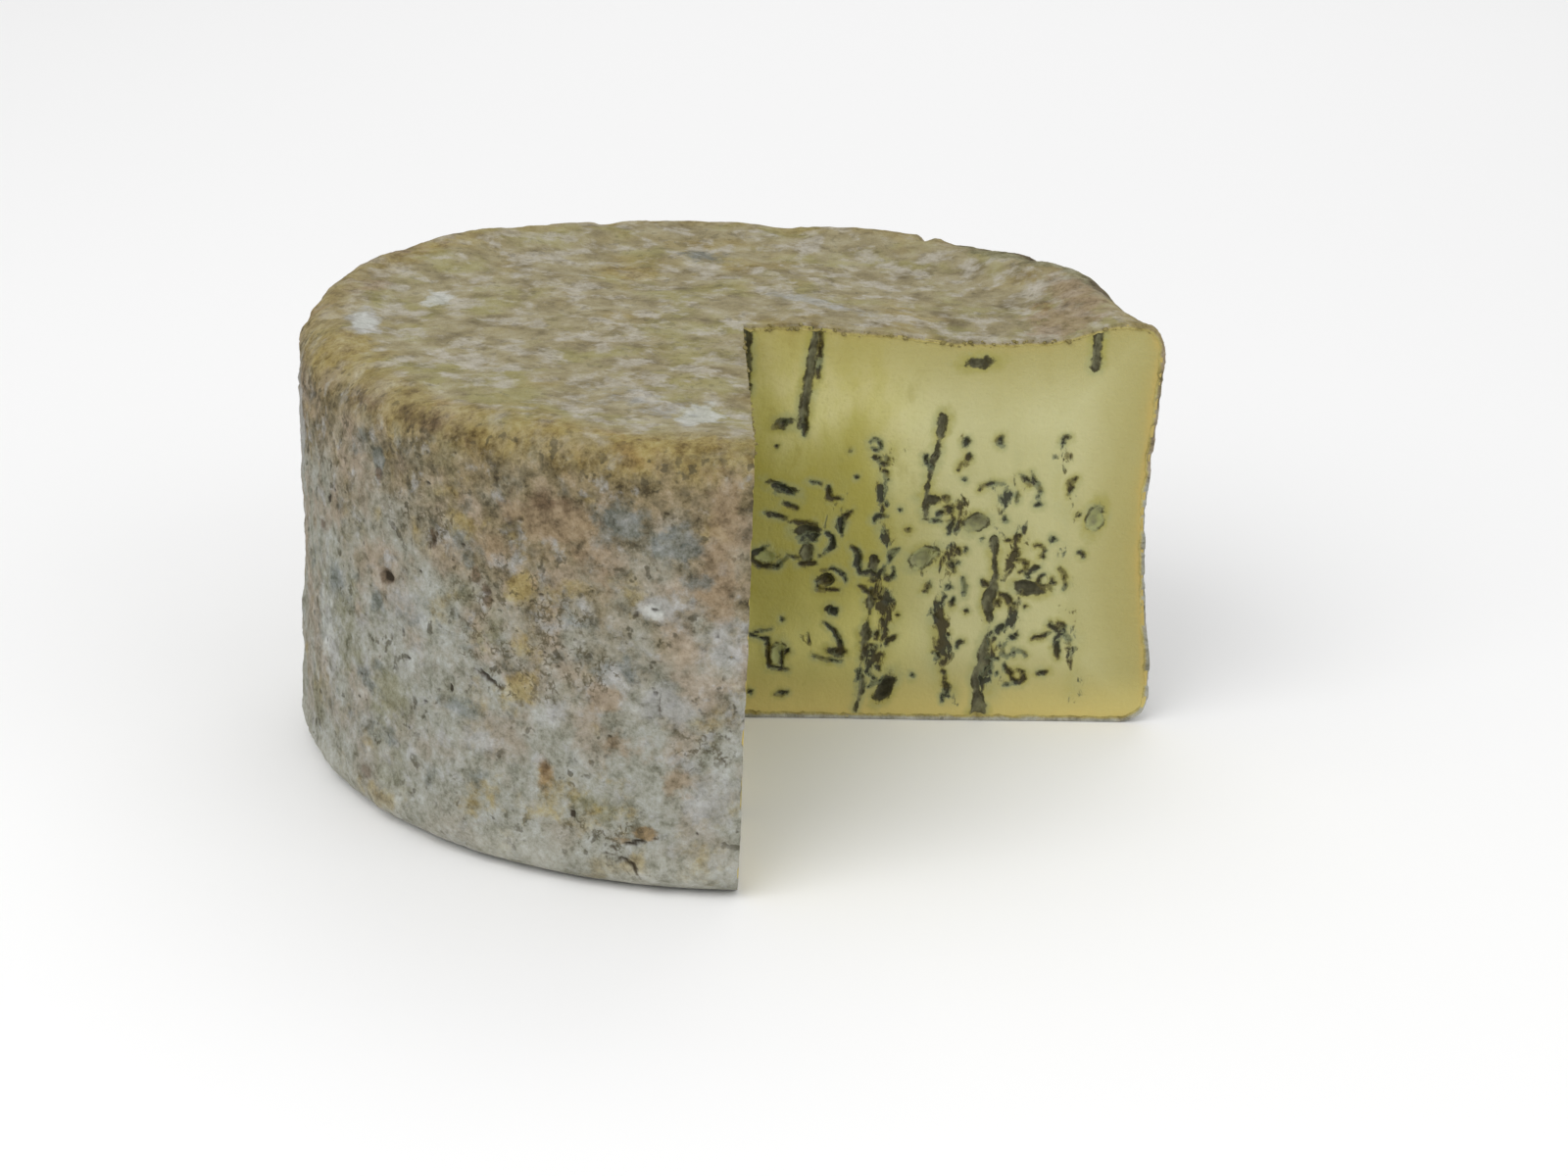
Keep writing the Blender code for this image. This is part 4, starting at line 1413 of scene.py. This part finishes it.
class Graph:
    """A node material under construction: each method adds a node and gives its output."""

    def __init__(self, name):
        self.material = bpy.data.materials.new(name)
        self.material.use_nodes = True
        self.tree = self.material.node_tree
        self.shader = self.tree.nodes["Principled BSDF"]
        self.place = self.node("ShaderNodeTexCoord").outputs["Object"]

    def node(self, kind, **settings):
        made = self.tree.nodes.new(kind)
        for name, value in settings.items():
            setattr(made, name, value)
        return made

    def set(self, socket, value):
        if isinstance(value, bpy.types.NodeSocket):
            self.tree.links.new(value, socket)
        else:
            socket.default_value = value

    def value(self, name):
        return self.node("ShaderNodeAttribute", attribute_name=name).outputs["Fac"]

    def height(self):
        split = self.node("ShaderNodeSeparateXYZ")
        self.set(split.inputs[0], self.place)
        return split.outputs["Z"]

    def stretched(self, stretch):
        mapping = self.node("ShaderNodeMapping")
        self.set(mapping.inputs["Vector"], self.place)
        mapping.inputs["Scale"].default_value = stretch
        return mapping.outputs["Vector"]

    def noise(self, size, detail=3.0, roughness=0.55, distortion=0.0, seed=0.0, stretch=None):
        """Noise with features of about a size, in metres, mostly between 0.3 and 0.7."""
        made = self.node("ShaderNodeTexNoise", noise_dimensions="4D")
        self.set(made.inputs["Vector"], self.stretched(stretch) if stretch else self.place)
        made.inputs["W"].default_value = seed
        made.inputs["Scale"].default_value = 1 / size
        made.inputs["Detail"].default_value = detail
        made.inputs["Roughness"].default_value = roughness
        made.inputs["Distortion"].default_value = distortion
        return made.outputs["Fac"]

    def cells(self, size, seed=0.0):
        """Distance from the borders between uneven cells, as a share of their size."""
        made = self.node("ShaderNodeTexVoronoi", voronoi_dimensions="4D", feature="DISTANCE_TO_EDGE")
        self.set(made.inputs["Vector"], self.place)
        made.inputs["W"].default_value = seed
        made.inputs["Scale"].default_value = 1 / size
        return made.outputs["Distance"]

    def step(self, value, low, high, start=0.0, end=1.0):
        """Rises smoothly from start to end as the value goes from low to high; low may be the larger."""
        made = self.node("ShaderNodeMapRange", interpolation_type="SMOOTHSTEP", clamp=True)
        if low > high:
            low, high, start, end = high, low, end, start
        self.set(made.inputs["Value"], value)
        made.inputs["From Min"].default_value = low
        made.inputs["From Max"].default_value = high
        made.inputs["To Min"].default_value = start
        made.inputs["To Max"].default_value = end
        return made.outputs["Result"]

    def math(self, operation, one, other=0.0):
        made = self.node("ShaderNodeMath", operation=operation)
        self.set(made.inputs[0], one)
        self.set(made.inputs[1], other)
        return made.outputs[0]

    def times(self, one, other):
        return self.math("MULTIPLY", one, other)

    def plus(self, one, other):
        return self.math("ADD", one, other)

    def most(self, one, other):
        return self.math("MAXIMUM", one, other)

    def less(self, other):
        return self.math("SUBTRACT", 1.0, other)

    def wavered(self, value, noise, amount):
        """The value, made to waver by a noise about its middle, 0.5."""
        return self.plus(value, self.times(self.plus(noise, -0.5), amount))

    def sharpened(self, value, gain):
        """Noise spread further from its middle, 0.5."""
        made = self.node("ShaderNodeMath", operation="MULTIPLY_ADD")
        self.set(made.inputs[0], value)
        self.set(made.inputs[1], gain)
        self.set(made.inputs[2], 0.5 - 0.5 * gain)
        return made.outputs[0]

    def blend(self, factor, under, over):
        """The colour under with the colour over on it, by a factor."""
        made = self.node("ShaderNodeMix", data_type="RGBA", clamp_factor=True)
        self.set(made.inputs["Factor"], factor)
        self.set(made.inputs["A"], under)
        self.set(made.inputs["B"], over)
        return made.outputs["Result"]

    def ramp(self, value, *stops):
        """A colour that runs through the stops: (value, colour) from low to high."""
        made = self.node("ShaderNodeValToRGB")
        points = made.color_ramp.elements
        for _ in range(len(stops) - 2):
            points.new(0.5)
        for point, (position, colour) in zip(points, stops):
            point.position = position
            point.color = colour
        self.set(made.inputs["Fac"], value)
        return made.outputs["Color"]

    def zone(self, value, name):
        return self.ramp(value, *((level, tone(*colour)) for level, *colour in ZONES[name]))

    def grown(self, under, over, detail, size, seed, roughness, low, high, most):
        """The colour over on the colour under, in patches of a size where noise passes two levels."""
        patchy = self.noise(size, detail, roughness, seed=seed)
        return self.blend(self.step(patchy, low, high, end=most), under, over)

    def bump(self, height, distance, strength=1.0, normal=None):
        made = self.node("ShaderNodeBump")
        made.inputs["Strength"].default_value = strength
        made.inputs["Distance"].default_value = distance
        self.set(made.inputs["Height"], height)
        if normal:
            self.set(made.inputs["Normal"], normal)
        return made.outputs["Normal"]

    def finish(self, colour, roughness, normal):
        self.set(self.shader.inputs["Base Color"], colour)
        self.set(self.shader.inputs["Roughness"], roughness)
        self.set(self.shader.inputs["Normal"], normal)
        return self.material


# Colours of the rind by zone, from its crevices to its flakes: level of the noise, red, green, blue. The
# low, dark levels fall where the bump relief, made of nearly the same noises, is low: the crevices' own
# darker colour with painted shade in them.
# The last, fill, is of the hollows, from an empty one, painted near black as shade in the hole, to one full
# of pale mould.
ZONES = {
    "grey": (
        (0.28, 84, 81, 65), (0.40, 122, 122, 108), (0.49, 146, 146, 134),
        (0.58, 158, 159, 151), (0.72, 180, 182, 177),
    ),
    "tan": (
        (0.32, 66, 58, 40), (0.41, 99, 88, 62), (0.50, 123, 111, 83),
        (0.60, 141, 126, 97), (0.72, 160, 147, 122),
    ),
    "pink": ((0.30, 98, 88, 71), (0.50, 143, 128, 108), (0.70, 168, 154, 135)),
    "olive": ((0.30, 72, 71, 48), (0.50, 118, 116, 88), (0.70, 150, 149, 126)),
    "pale": ((0.30, 132, 132, 126), (0.55, 163, 163, 160), (0.72, 183, 183, 184)),
    "white": ((0.30, 158, 160, 154), (0.50, 186, 188, 182), (0.70, 204, 206, 202)),
    "blue": (
        (0.32, 56, 60, 52), (0.48, 98, 104, 99), (0.62, 124, 130, 130),
        (0.74, 156, 158, 158),
    ),
    "orange": ((0.30, 90, 75, 54), (0.50, 140, 121, 94), (0.70, 160, 143, 116)),
    "rust": ((0.32, 70, 53, 30), (0.52, 134, 106, 58), (0.72, 160, 132, 84)),
    "brown": ((0.35, 48, 38, 27), (0.65, 104, 82, 58)),
    "mustard": (
        (0.30, 96, 78, 40), (0.42, 128, 110, 62), (0.54, 150, 134, 80),
        (0.70, 166, 154, 106),
    ),
    "top": (
        (0.28, 88, 79, 54), (0.40, 122, 112, 84), (0.50, 144, 134, 102),
        (0.60, 160, 152, 124), (0.72, 178, 172, 156),
    ),
    "flake": ((0.30, 138, 132, 112), (0.50, 169, 163, 149), (0.72, 195, 190, 180)),
    "lime": ((0.30, 106, 100, 58), (0.50, 145, 139, 90), (0.70, 160, 155, 116)),
    # foot: paler rind near the base, painted light against the shade near the floor
    "foot": ((0.30, 148, 147, 132), (0.50, 178, 176, 163), (0.70, 200, 199, 190)),
    "umber": ((0.30, 58, 52, 37), (0.50, 90, 82, 61), (0.70, 118, 109, 86)),
    "section": ((0.30, 128, 116, 66), (0.50, 166, 153, 91), (0.70, 184, 174, 113)),
    "fill": (
        (0.05, 26, 24, 14), (0.35, 78, 75, 58), (0.60, 122, 121, 92),
        (0.95, 160, 163, 110),
    ),
}
# The order in which the kinds of patches lie over each other
PATCH_ZONES = ("olive", "pale", "mustard", "orange", "rust", "blue", "brown", "white")
# What grows over the side and the top: zone, size and seed of its patches, roughness of their edges,
# the levels of noise between which it grows, and how strong it is
SIDE_GROWTHS = (
    ("olive", 0.024, 7.0, 0.55, 0.54, 0.70, 0.55),
    ("mustard", 0.017, 17.0, 0.60, 0.56, 0.70, 0.60),
    ("blue", 0.012, 16.0, 0.65, 0.56, 0.70, 0.60),
    ("pale", 0.0085, 8.0, 0.65, 0.55, 0.68, 0.75),
)
TOP_GROWTHS = (
    ("lime", 0.022, 10.0, 0.55, 0.48, 0.62, 0.70),
    ("mustard", 0.034, 15.0, 0.55, 0.50, 0.66, 0.60),
    ("flake", 0.0092, 11.0, 0.60, 0.48, 0.63, 0.78),
)
SPECK_TONE = tone(66, 61, 45)
CRACKLE_TONE = tone(80, 73, 53)
CRACK_TONE = tone(60, 50, 34)
PIT_TONE = tone(46, 38, 26)


def rind_material():
    """Natural rind: olive-yellow with pale flakes on top, a tan band below the rim, grey lower down;
    painted shade in its crevices and painted light near its base.
    """
    g = Graph("natural_rind")
    on_top = g.value("on_top")
    broad = g.noise(0.040, seed=1.0)
    blotch = g.noise(0.014, detail=5.0, roughness=0.6, seed=2.0)
    mottle = g.noise(0.0062, detail=6.0, roughness=0.68, seed=3.0)
    grain = g.noise(0.0028, detail=4.0, roughness=0.65, seed=4.0)
    grit = g.noise(0.0011, detail=3.0, roughness=0.6, seed=5.0)
    # this texture is nearly the bump's relief below: its low, dark levels are partly painted shade in the
    # crevices
    texture = g.plus(g.plus(g.times(mottle, 0.50), g.times(grain, 0.32)), g.times(grit, 0.18))
    soft = g.sharpened(texture, 1.35)
    texture = g.sharpened(texture, 1.70)

    share = g.math("DIVIDE", g.height(), WHEEL_HEIGHT)
    wandering = g.wavered(g.wavered(share, broad, 0.9), blotch, 0.9)
    warm = g.step(g.plus(wandering, g.value("warmth")), 0.54, 1.04)
    side = g.blend(warm, g.zone(soft, "grey"), g.zone(texture, "tan"))
    pinkness = g.step(g.noise(0.020, detail=5.0, seed=6.0), 0.46, 0.62, end=0.75)
    pinkness = g.times(pinkness, g.step(share, -0.35, 0.65))
    side = g.blend(pinkness, side, g.zone(texture, "pink"))
    for zone, *growth in SIDE_GROWTHS:
        over = g.zone(soft if zone == "pale" else texture, zone)
        side = g.grown(side, over, 5.0, *growth)

    flakes = g.noise(0.0105, roughness=0.5, seed=9.0)
    flakes = g.plus(g.times(flakes, 0.58), g.times(soft, 0.42))
    flakes = g.wavered(flakes, broad, 0.12)
    top = g.zone(flakes, "top")
    for zone, *growth in TOP_GROWTHS:
        over = g.zone(soft if zone == "flake" else flakes, zone)
        top = g.grown(top, over, 4.0, *growth)

    colour = g.blend(on_top, side, top)
    gold = g.blend(
        g.step(blotch, 0.52, 0.70, end=0.7),
        g.zone(texture, "mustard"),
        g.zone(texture, "rust"),
    )
    band = g.times(g.value("near_rim"), g.step(g.noise(0.016, detail=4.0, seed=12.0), 0.30, 0.58))
    band = g.times(band, g.step(g.value("warmth"), 0.0, 0.18, 0.52, 0.88))
    colour = g.blend(band, colour, gold)

    specks = g.noise(0.0030, detail=2.0, roughness=0.5, seed=13.0)
    clusters = g.step(g.noise(0.013, detail=4.0, seed=14.0), 0.44, 0.60)
    clusters = g.math("MINIMUM", g.plus(clusters, g.times(warm, 0.45)), 1.0)
    speckled = g.times(g.step(specks, 0.57, 0.65), clusters)
    speckled = g.times(speckled, g.less(g.times(on_top, 0.62)))
    colour = g.blend(g.times(speckled, 0.72), colour, SPECK_TONE)

    shade = g.step(g.noise(0.0042, detail=5.0, roughness=0.66, seed=18.0), 0.46, 0.62, end=0.64)
    shade = g.times(shade, g.value("umber"))
    colour = g.blend(shade, colour, g.zone(texture, "umber"))

    for number, kind in enumerate(PATCH_ZONES):
        ragged_edge = g.noise(0.0060, detail=5.0, roughness=0.65, seed=20.0 + number)
        level = g.wavered(g.value(kind), ragged_edge, 1.5)
        colour = g.blend(g.step(level, 0.22, 0.62, end=0.72), colour, g.zone(texture, kind))
    # paler blotches near the base: painted light against the shade near the floor
    foot = g.times(g.step(g.height(), 0.020, 0.002), g.step(blotch, 0.40, 0.58, 0.22, 0.62))
    colour = g.blend(foot, colour, g.zone(texture, "foot"))

    crackled = g.wavered(g.value("crackle"), g.noise(0.012, detail=4.0, seed=32.0), 1.6)
    crackled = g.times(g.step(crackled, 0.10, 0.50, end=0.72), g.less(g.times(on_top, 0.85)))
    lines = g.step(g.wavered(g.cells(0.0025, seed=31.0), grit, 0.60), 0.13, 0.01)
    lines = g.times(lines, g.step(g.noise(0.0036, detail=4.0, roughness=0.6, seed=33.0), 0.48, 0.57))
    colour = g.blend(g.times(crackled, lines), colour, CRACKLE_TONE)
    from_crack = g.wavered(g.value("crack"), grain, 2.2)
    colour = g.blend(g.step(from_crack, 0.75, -0.15, end=0.85), colour, CRACK_TONE)
    pit = g.wavered(g.value("pit"), grain, 0.6)
    colour = g.blend(g.step(pit, 0.22, 0.70, end=0.92), colour, PIT_TONE)
    colour = g.blend(g.step(g.value("section"), 0.3, 0.9), colour, g.zone(texture, "section"))

    relief = g.plus(g.times(mottle, 0.5), g.plus(g.times(grain, 0.35), g.times(grit, 0.15)))
    normal = g.bump(relief, 0.0030, 0.8)
    roughness = g.step(grain, 0.3, 0.7, 0.95, 0.80)
    g.shader.inputs["Specular IOR Level"].default_value = 0.22
    return g.finish(colour, roughness, normal)


# Tones of the paste: clear and cloudy, its streaks and grain, the olive middle, partly its own colour and
# partly painted shadow, the foot and the outer part
CLOUDY_TONE = tone(189, 183, 116)
CLEAR_TONE = tone(199, 195, 140)
PALE_STREAK = tone(200, 194, 144)
DARK_STREAK = tone(156, 147, 74)
DARK_GRAIN = tone(148, 140, 80)
OLIVE_MIDDLE_AND_PAINTED_SHADOW = tone(156, 148, 66)
PALE_FOOT = tone(200, 194, 122)
OUTER_TONE = tone(187, 184, 140)
# The same towards the rind, from the outside of the band to the rind itself, and at the foot, where the
# paler tone is painted light against the shade near the floor
RIND_TONES = (tone(155, 144, 80), tone(172, 154, 88), tone(182, 160, 92))
PAINTED_LIGHT_FOOT_TONE = tone(206, 190, 118)
# Where each band starts and is full, in millimetres from the rind, and how strong it is; the first, widest
# band is partly the paste's own deeper tone and partly painted shade
RIND_BANDS = ((32.0, 4.0, 0.70), (7.0, 1.0, 0.45), (3.6, 0.9, 0.75))
# Tones of the mould, warm and blue-green: the stain around it, the mould and its core, and a hollow's rim
STAIN_TONES = (tone(150, 145, 74), tone(152, 154, 108))
MOULD_TONES = (tone(98, 90, 42), tone(108, 115, 86))
CORE_TONES = (tone(58, 50, 22), tone(42, 43, 30))
HOLLOW_RIM_TONE = tone(54, 50, 27)


def paste_material():
    """Cut paste: pale yellow, darker (partly painted shade) and more orange at the rind, with blue-green
    and black mould; painted shadow across its middle, painted shade near the axis and painted light at its
    foot.
    """
    g = Graph("cut_paste")
    broad = g.noise(0.030, seed=1.0, stretch=(1.0, 1.0, 0.5))
    middle = g.noise(0.0080, detail=4.0, seed=2.0, stretch=(1.0, 1.0, 0.6))
    fine = g.noise(0.0014, detail=4.0, roughness=0.65, seed=3.0)
    crumb = g.noise(0.0022, detail=4.0, roughness=0.65, seed=4.0)
    flecks = g.noise(0.0042, detail=4.0, roughness=0.62, distortion=0.4, seed=5.0, stretch=(1.0, 1.0, 0.55))
    tint = g.noise(0.0090, seed=6.0)
    cores = g.noise(0.0034, seed=7.0)
    low = g.wavered(g.height(), broad, 0.10)
    to_rind = g.wavered(g.value("from_rind"), middle, 6.0)

    colour = g.blend(g.step(broad, 0.38, 0.62), CLOUDY_TONE, CLEAR_TONE)
    for value, start, full, most, over in (
        (middle, 0.46, 0.68, 0.60, PALE_STREAK),
        (middle, 0.48, 0.30, 0.60, DARK_STREAK),
        (fine, 0.50, 0.30, 0.25, DARK_GRAIN),
        # darker olive across the middle of the face: partly the paste's own tone, partly painted shadow
        (low, 0.108, 0.078, 0.85, OLIVE_MIDDLE_AND_PAINTED_SHADOW),
        (low, 0.056, 0.022, 0.85, PALE_FOOT),
    ):
        colour = g.blend(g.step(value, start, full, end=most), colour, over)
    # paler further from the axis: the darker paste left nearer the axis is partly painted shade
    colour = g.blend(g.times(g.value("outward"), 0.80), colour, OUTER_TONE)
    # the widest band towards the rind is partly painted shade, the narrow ones are the paste's own colour
    for (start, full, most), over in zip(RIND_BANDS, RIND_TONES):
        colour = g.blend(g.step(to_rind, start, full, end=most), colour, over)
    # paler at the foot: painted light against the shade near the floor
    colour = g.blend(g.step(g.height(), 0.020, 0.002, end=0.65), colour, PAINTED_LIGHT_FOOT_TONE)

    from_vein = g.wavered(g.value("vein"), crumb, 3.0)
    from_hollow = g.wavered(g.value("hollow"), crumb, 3.0)
    train = g.value("train")
    vein_level = g.times(g.step(from_vein, 1.15, -0.35), g.step(cores, 0.36, 0.56, 0.55, 1.0))
    train_level = g.step(g.plus(flecks, g.times(train, 0.19)), 0.580, 0.735)
    level = g.most(vein_level, g.times(train_level, g.step(train, 0.02, 0.20)))

    halo = g.most(g.step(from_hollow, 3.2, 0.2, end=0.7), g.step(from_vein, 3.0, 0.2, end=0.7))
    halo = g.most(halo, g.times(train, 0.75))
    colour = g.blend(halo, colour, g.blend(g.step(tint, 0.42, 0.58), *STAIN_TONES))
    inside = g.zone(g.wavered(g.value("fill"), cores, 1.0), "fill")
    # an empty hollow is painted near black: painted shade in the hole
    colour = g.blend(g.step(from_hollow, 0.30, -0.40, end=0.94), colour, inside)
    edge = g.times(g.step(from_hollow, 0.60, 0.05), g.step(from_hollow, -0.90, -0.25))
    colour = g.blend(g.times(edge, g.step(cores, 0.60, 0.42, 0.10, 0.88)), colour, HOLLOW_RIM_TONE)
    bluish = g.step(tint, 0.42, 0.60)
    colour = g.blend(g.step(level, 0.05, 0.45, end=0.72), colour, g.blend(bluish, *MOULD_TONES))
    colour = g.blend(g.step(level, 0.50, 0.85, end=0.92), colour, g.blend(bluish, *CORE_TONES))

    sunk = g.bump(g.less(level), 0.0007, 0.7)
    relief = g.plus(g.times(fine, 0.6), g.times(middle, 0.4))
    normal = g.bump(relief, 0.0009, 0.6, sunk)
    roughness = g.step(level, 0.6, 0.1, 0.50, 0.85)
    for name, value in (
        ("Specular IOR Level", 0.35),
        ("Subsurface Weight", 0.10),
        ("Subsurface Radius", (1.0, 0.75, 0.35)),
        ("Subsurface Scale", 0.003),
    ):
        g.shader.inputs[name].default_value = value
    return g.finish(colour, roughness, normal)


FLOOR_TONE = tone(246, 246, 246)
FLOOR_SIZE = 8.0


def make_floor():
    mesh = bpy.data.meshes.new("floor")
    half = FLOOR_SIZE / 2
    corners = [(-half, -half, 0.0), (half, -half, 0.0), (half, half, 0.0), (-half, half, 0.0)]
    mesh.from_pydata(corners, [], [(0, 1, 2, 3)])
    floor = new_piece("floor", mesh)
    floor.location.z = -0.0002
    material = bpy.data.materials.new("floor")
    material.use_nodes = True
    material.node_tree.nodes["Principled BSDF"].inputs["Base Color"].default_value = FLOOR_TONE
    material.node_tree.nodes["Principled BSDF"].inputs["Roughness"].default_value = 0.9
    mesh.materials.append(material)


# Soft boxes: name, where it stands, its size and its power
SOFT_BOXES = (
    ("key", (-0.9, -1.1, 1.5), 1.6, 20.0),
    ("fill", (1.4, -1.2, 0.9), 1.8, 9.0),
    ("back", (0.2, 1.6, 1.4), 1.6, 8.0),
)
SKY_STRENGTH = 0.62


def make_light():
    for name, place, size, power in SOFT_BOXES:
        data = bpy.data.lights.new(name, "AREA")
        data.shape = "SQUARE"
        data.size = size
        data.energy = power
        lamp = bpy.data.objects.new(name, data)
        lamp.location = place
        aim = Vector((0.0, 0.0, AIM_HEIGHT)) - Vector(place)
        lamp.rotation_mode = "QUATERNION"
        lamp.rotation_quaternion = aim.to_track_quat("-Z", "Y")
        bpy.context.scene.collection.objects.link(lamp)
    world = bpy.data.worlds.new("studio")
    world.use_nodes = True
    world.node_tree.nodes["Background"].inputs["Color"].default_value = (1.0, 1.0, 1.0, 1.0)
    world.node_tree.nodes["Background"].inputs["Strength"].default_value = SKY_STRENGTH
    bpy.context.scene.world = world
    bpy.context.scene.view_settings.view_transform = "Standard"


def make_camera():
    right = Vector((math.cos(CAMERA_AZIMUTH), math.sin(CAMERA_AZIMUTH), 0.0))
    level = math.cos(CAMERA_ELEVATION)
    flat = (math.sin(CAMERA_AZIMUTH) * level, -math.cos(CAMERA_AZIMUTH) * level)
    back = Vector((*flat, math.sin(CAMERA_ELEVATION)))
    up = back.cross(right)
    rolled_right = right * math.cos(CAMERA_ROLL) + up * math.sin(CAMERA_ROLL)
    rolled_up = up * math.cos(CAMERA_ROLL) - right * math.sin(CAMERA_ROLL)
    aim = AXIS + Vector((0.0, 0.0, AIM_HEIGHT))
    sidestep = rolled_right * CAMERA_SIDESTEP[0] + rolled_up * CAMERA_SIDESTEP[1]
    data = bpy.data.cameras.new("camera")
    data.lens = CAMERA_LENS
    data.sensor_width = 36.0
    data.clip_start = 0.05
    data.clip_end = 20.0
    camera = bpy.data.objects.new("camera", data)
    turn = Matrix((rolled_right, rolled_up, back)).transposed().to_4x4()
    camera.matrix_world = Matrix.Translation(aim + back * CAMERA_DISTANCE + sidestep) @ turn
    bpy.context.scene.collection.objects.link(camera)
    bpy.context.scene.camera = camera


def main():
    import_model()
    rind_look = rind_material()
    rind = make_rind(rind_look)
    paste = make_paste(paste_material())
    for piece, slot in ((rind, "rind"), (paste, "paste")):
        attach(piece, "root")
        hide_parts("cheese_wheel")
    crumbs = make_crumbs(rind_look)
    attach(crumbs, "root")
    make_floor()
    make_light()
    make_camera()


main()
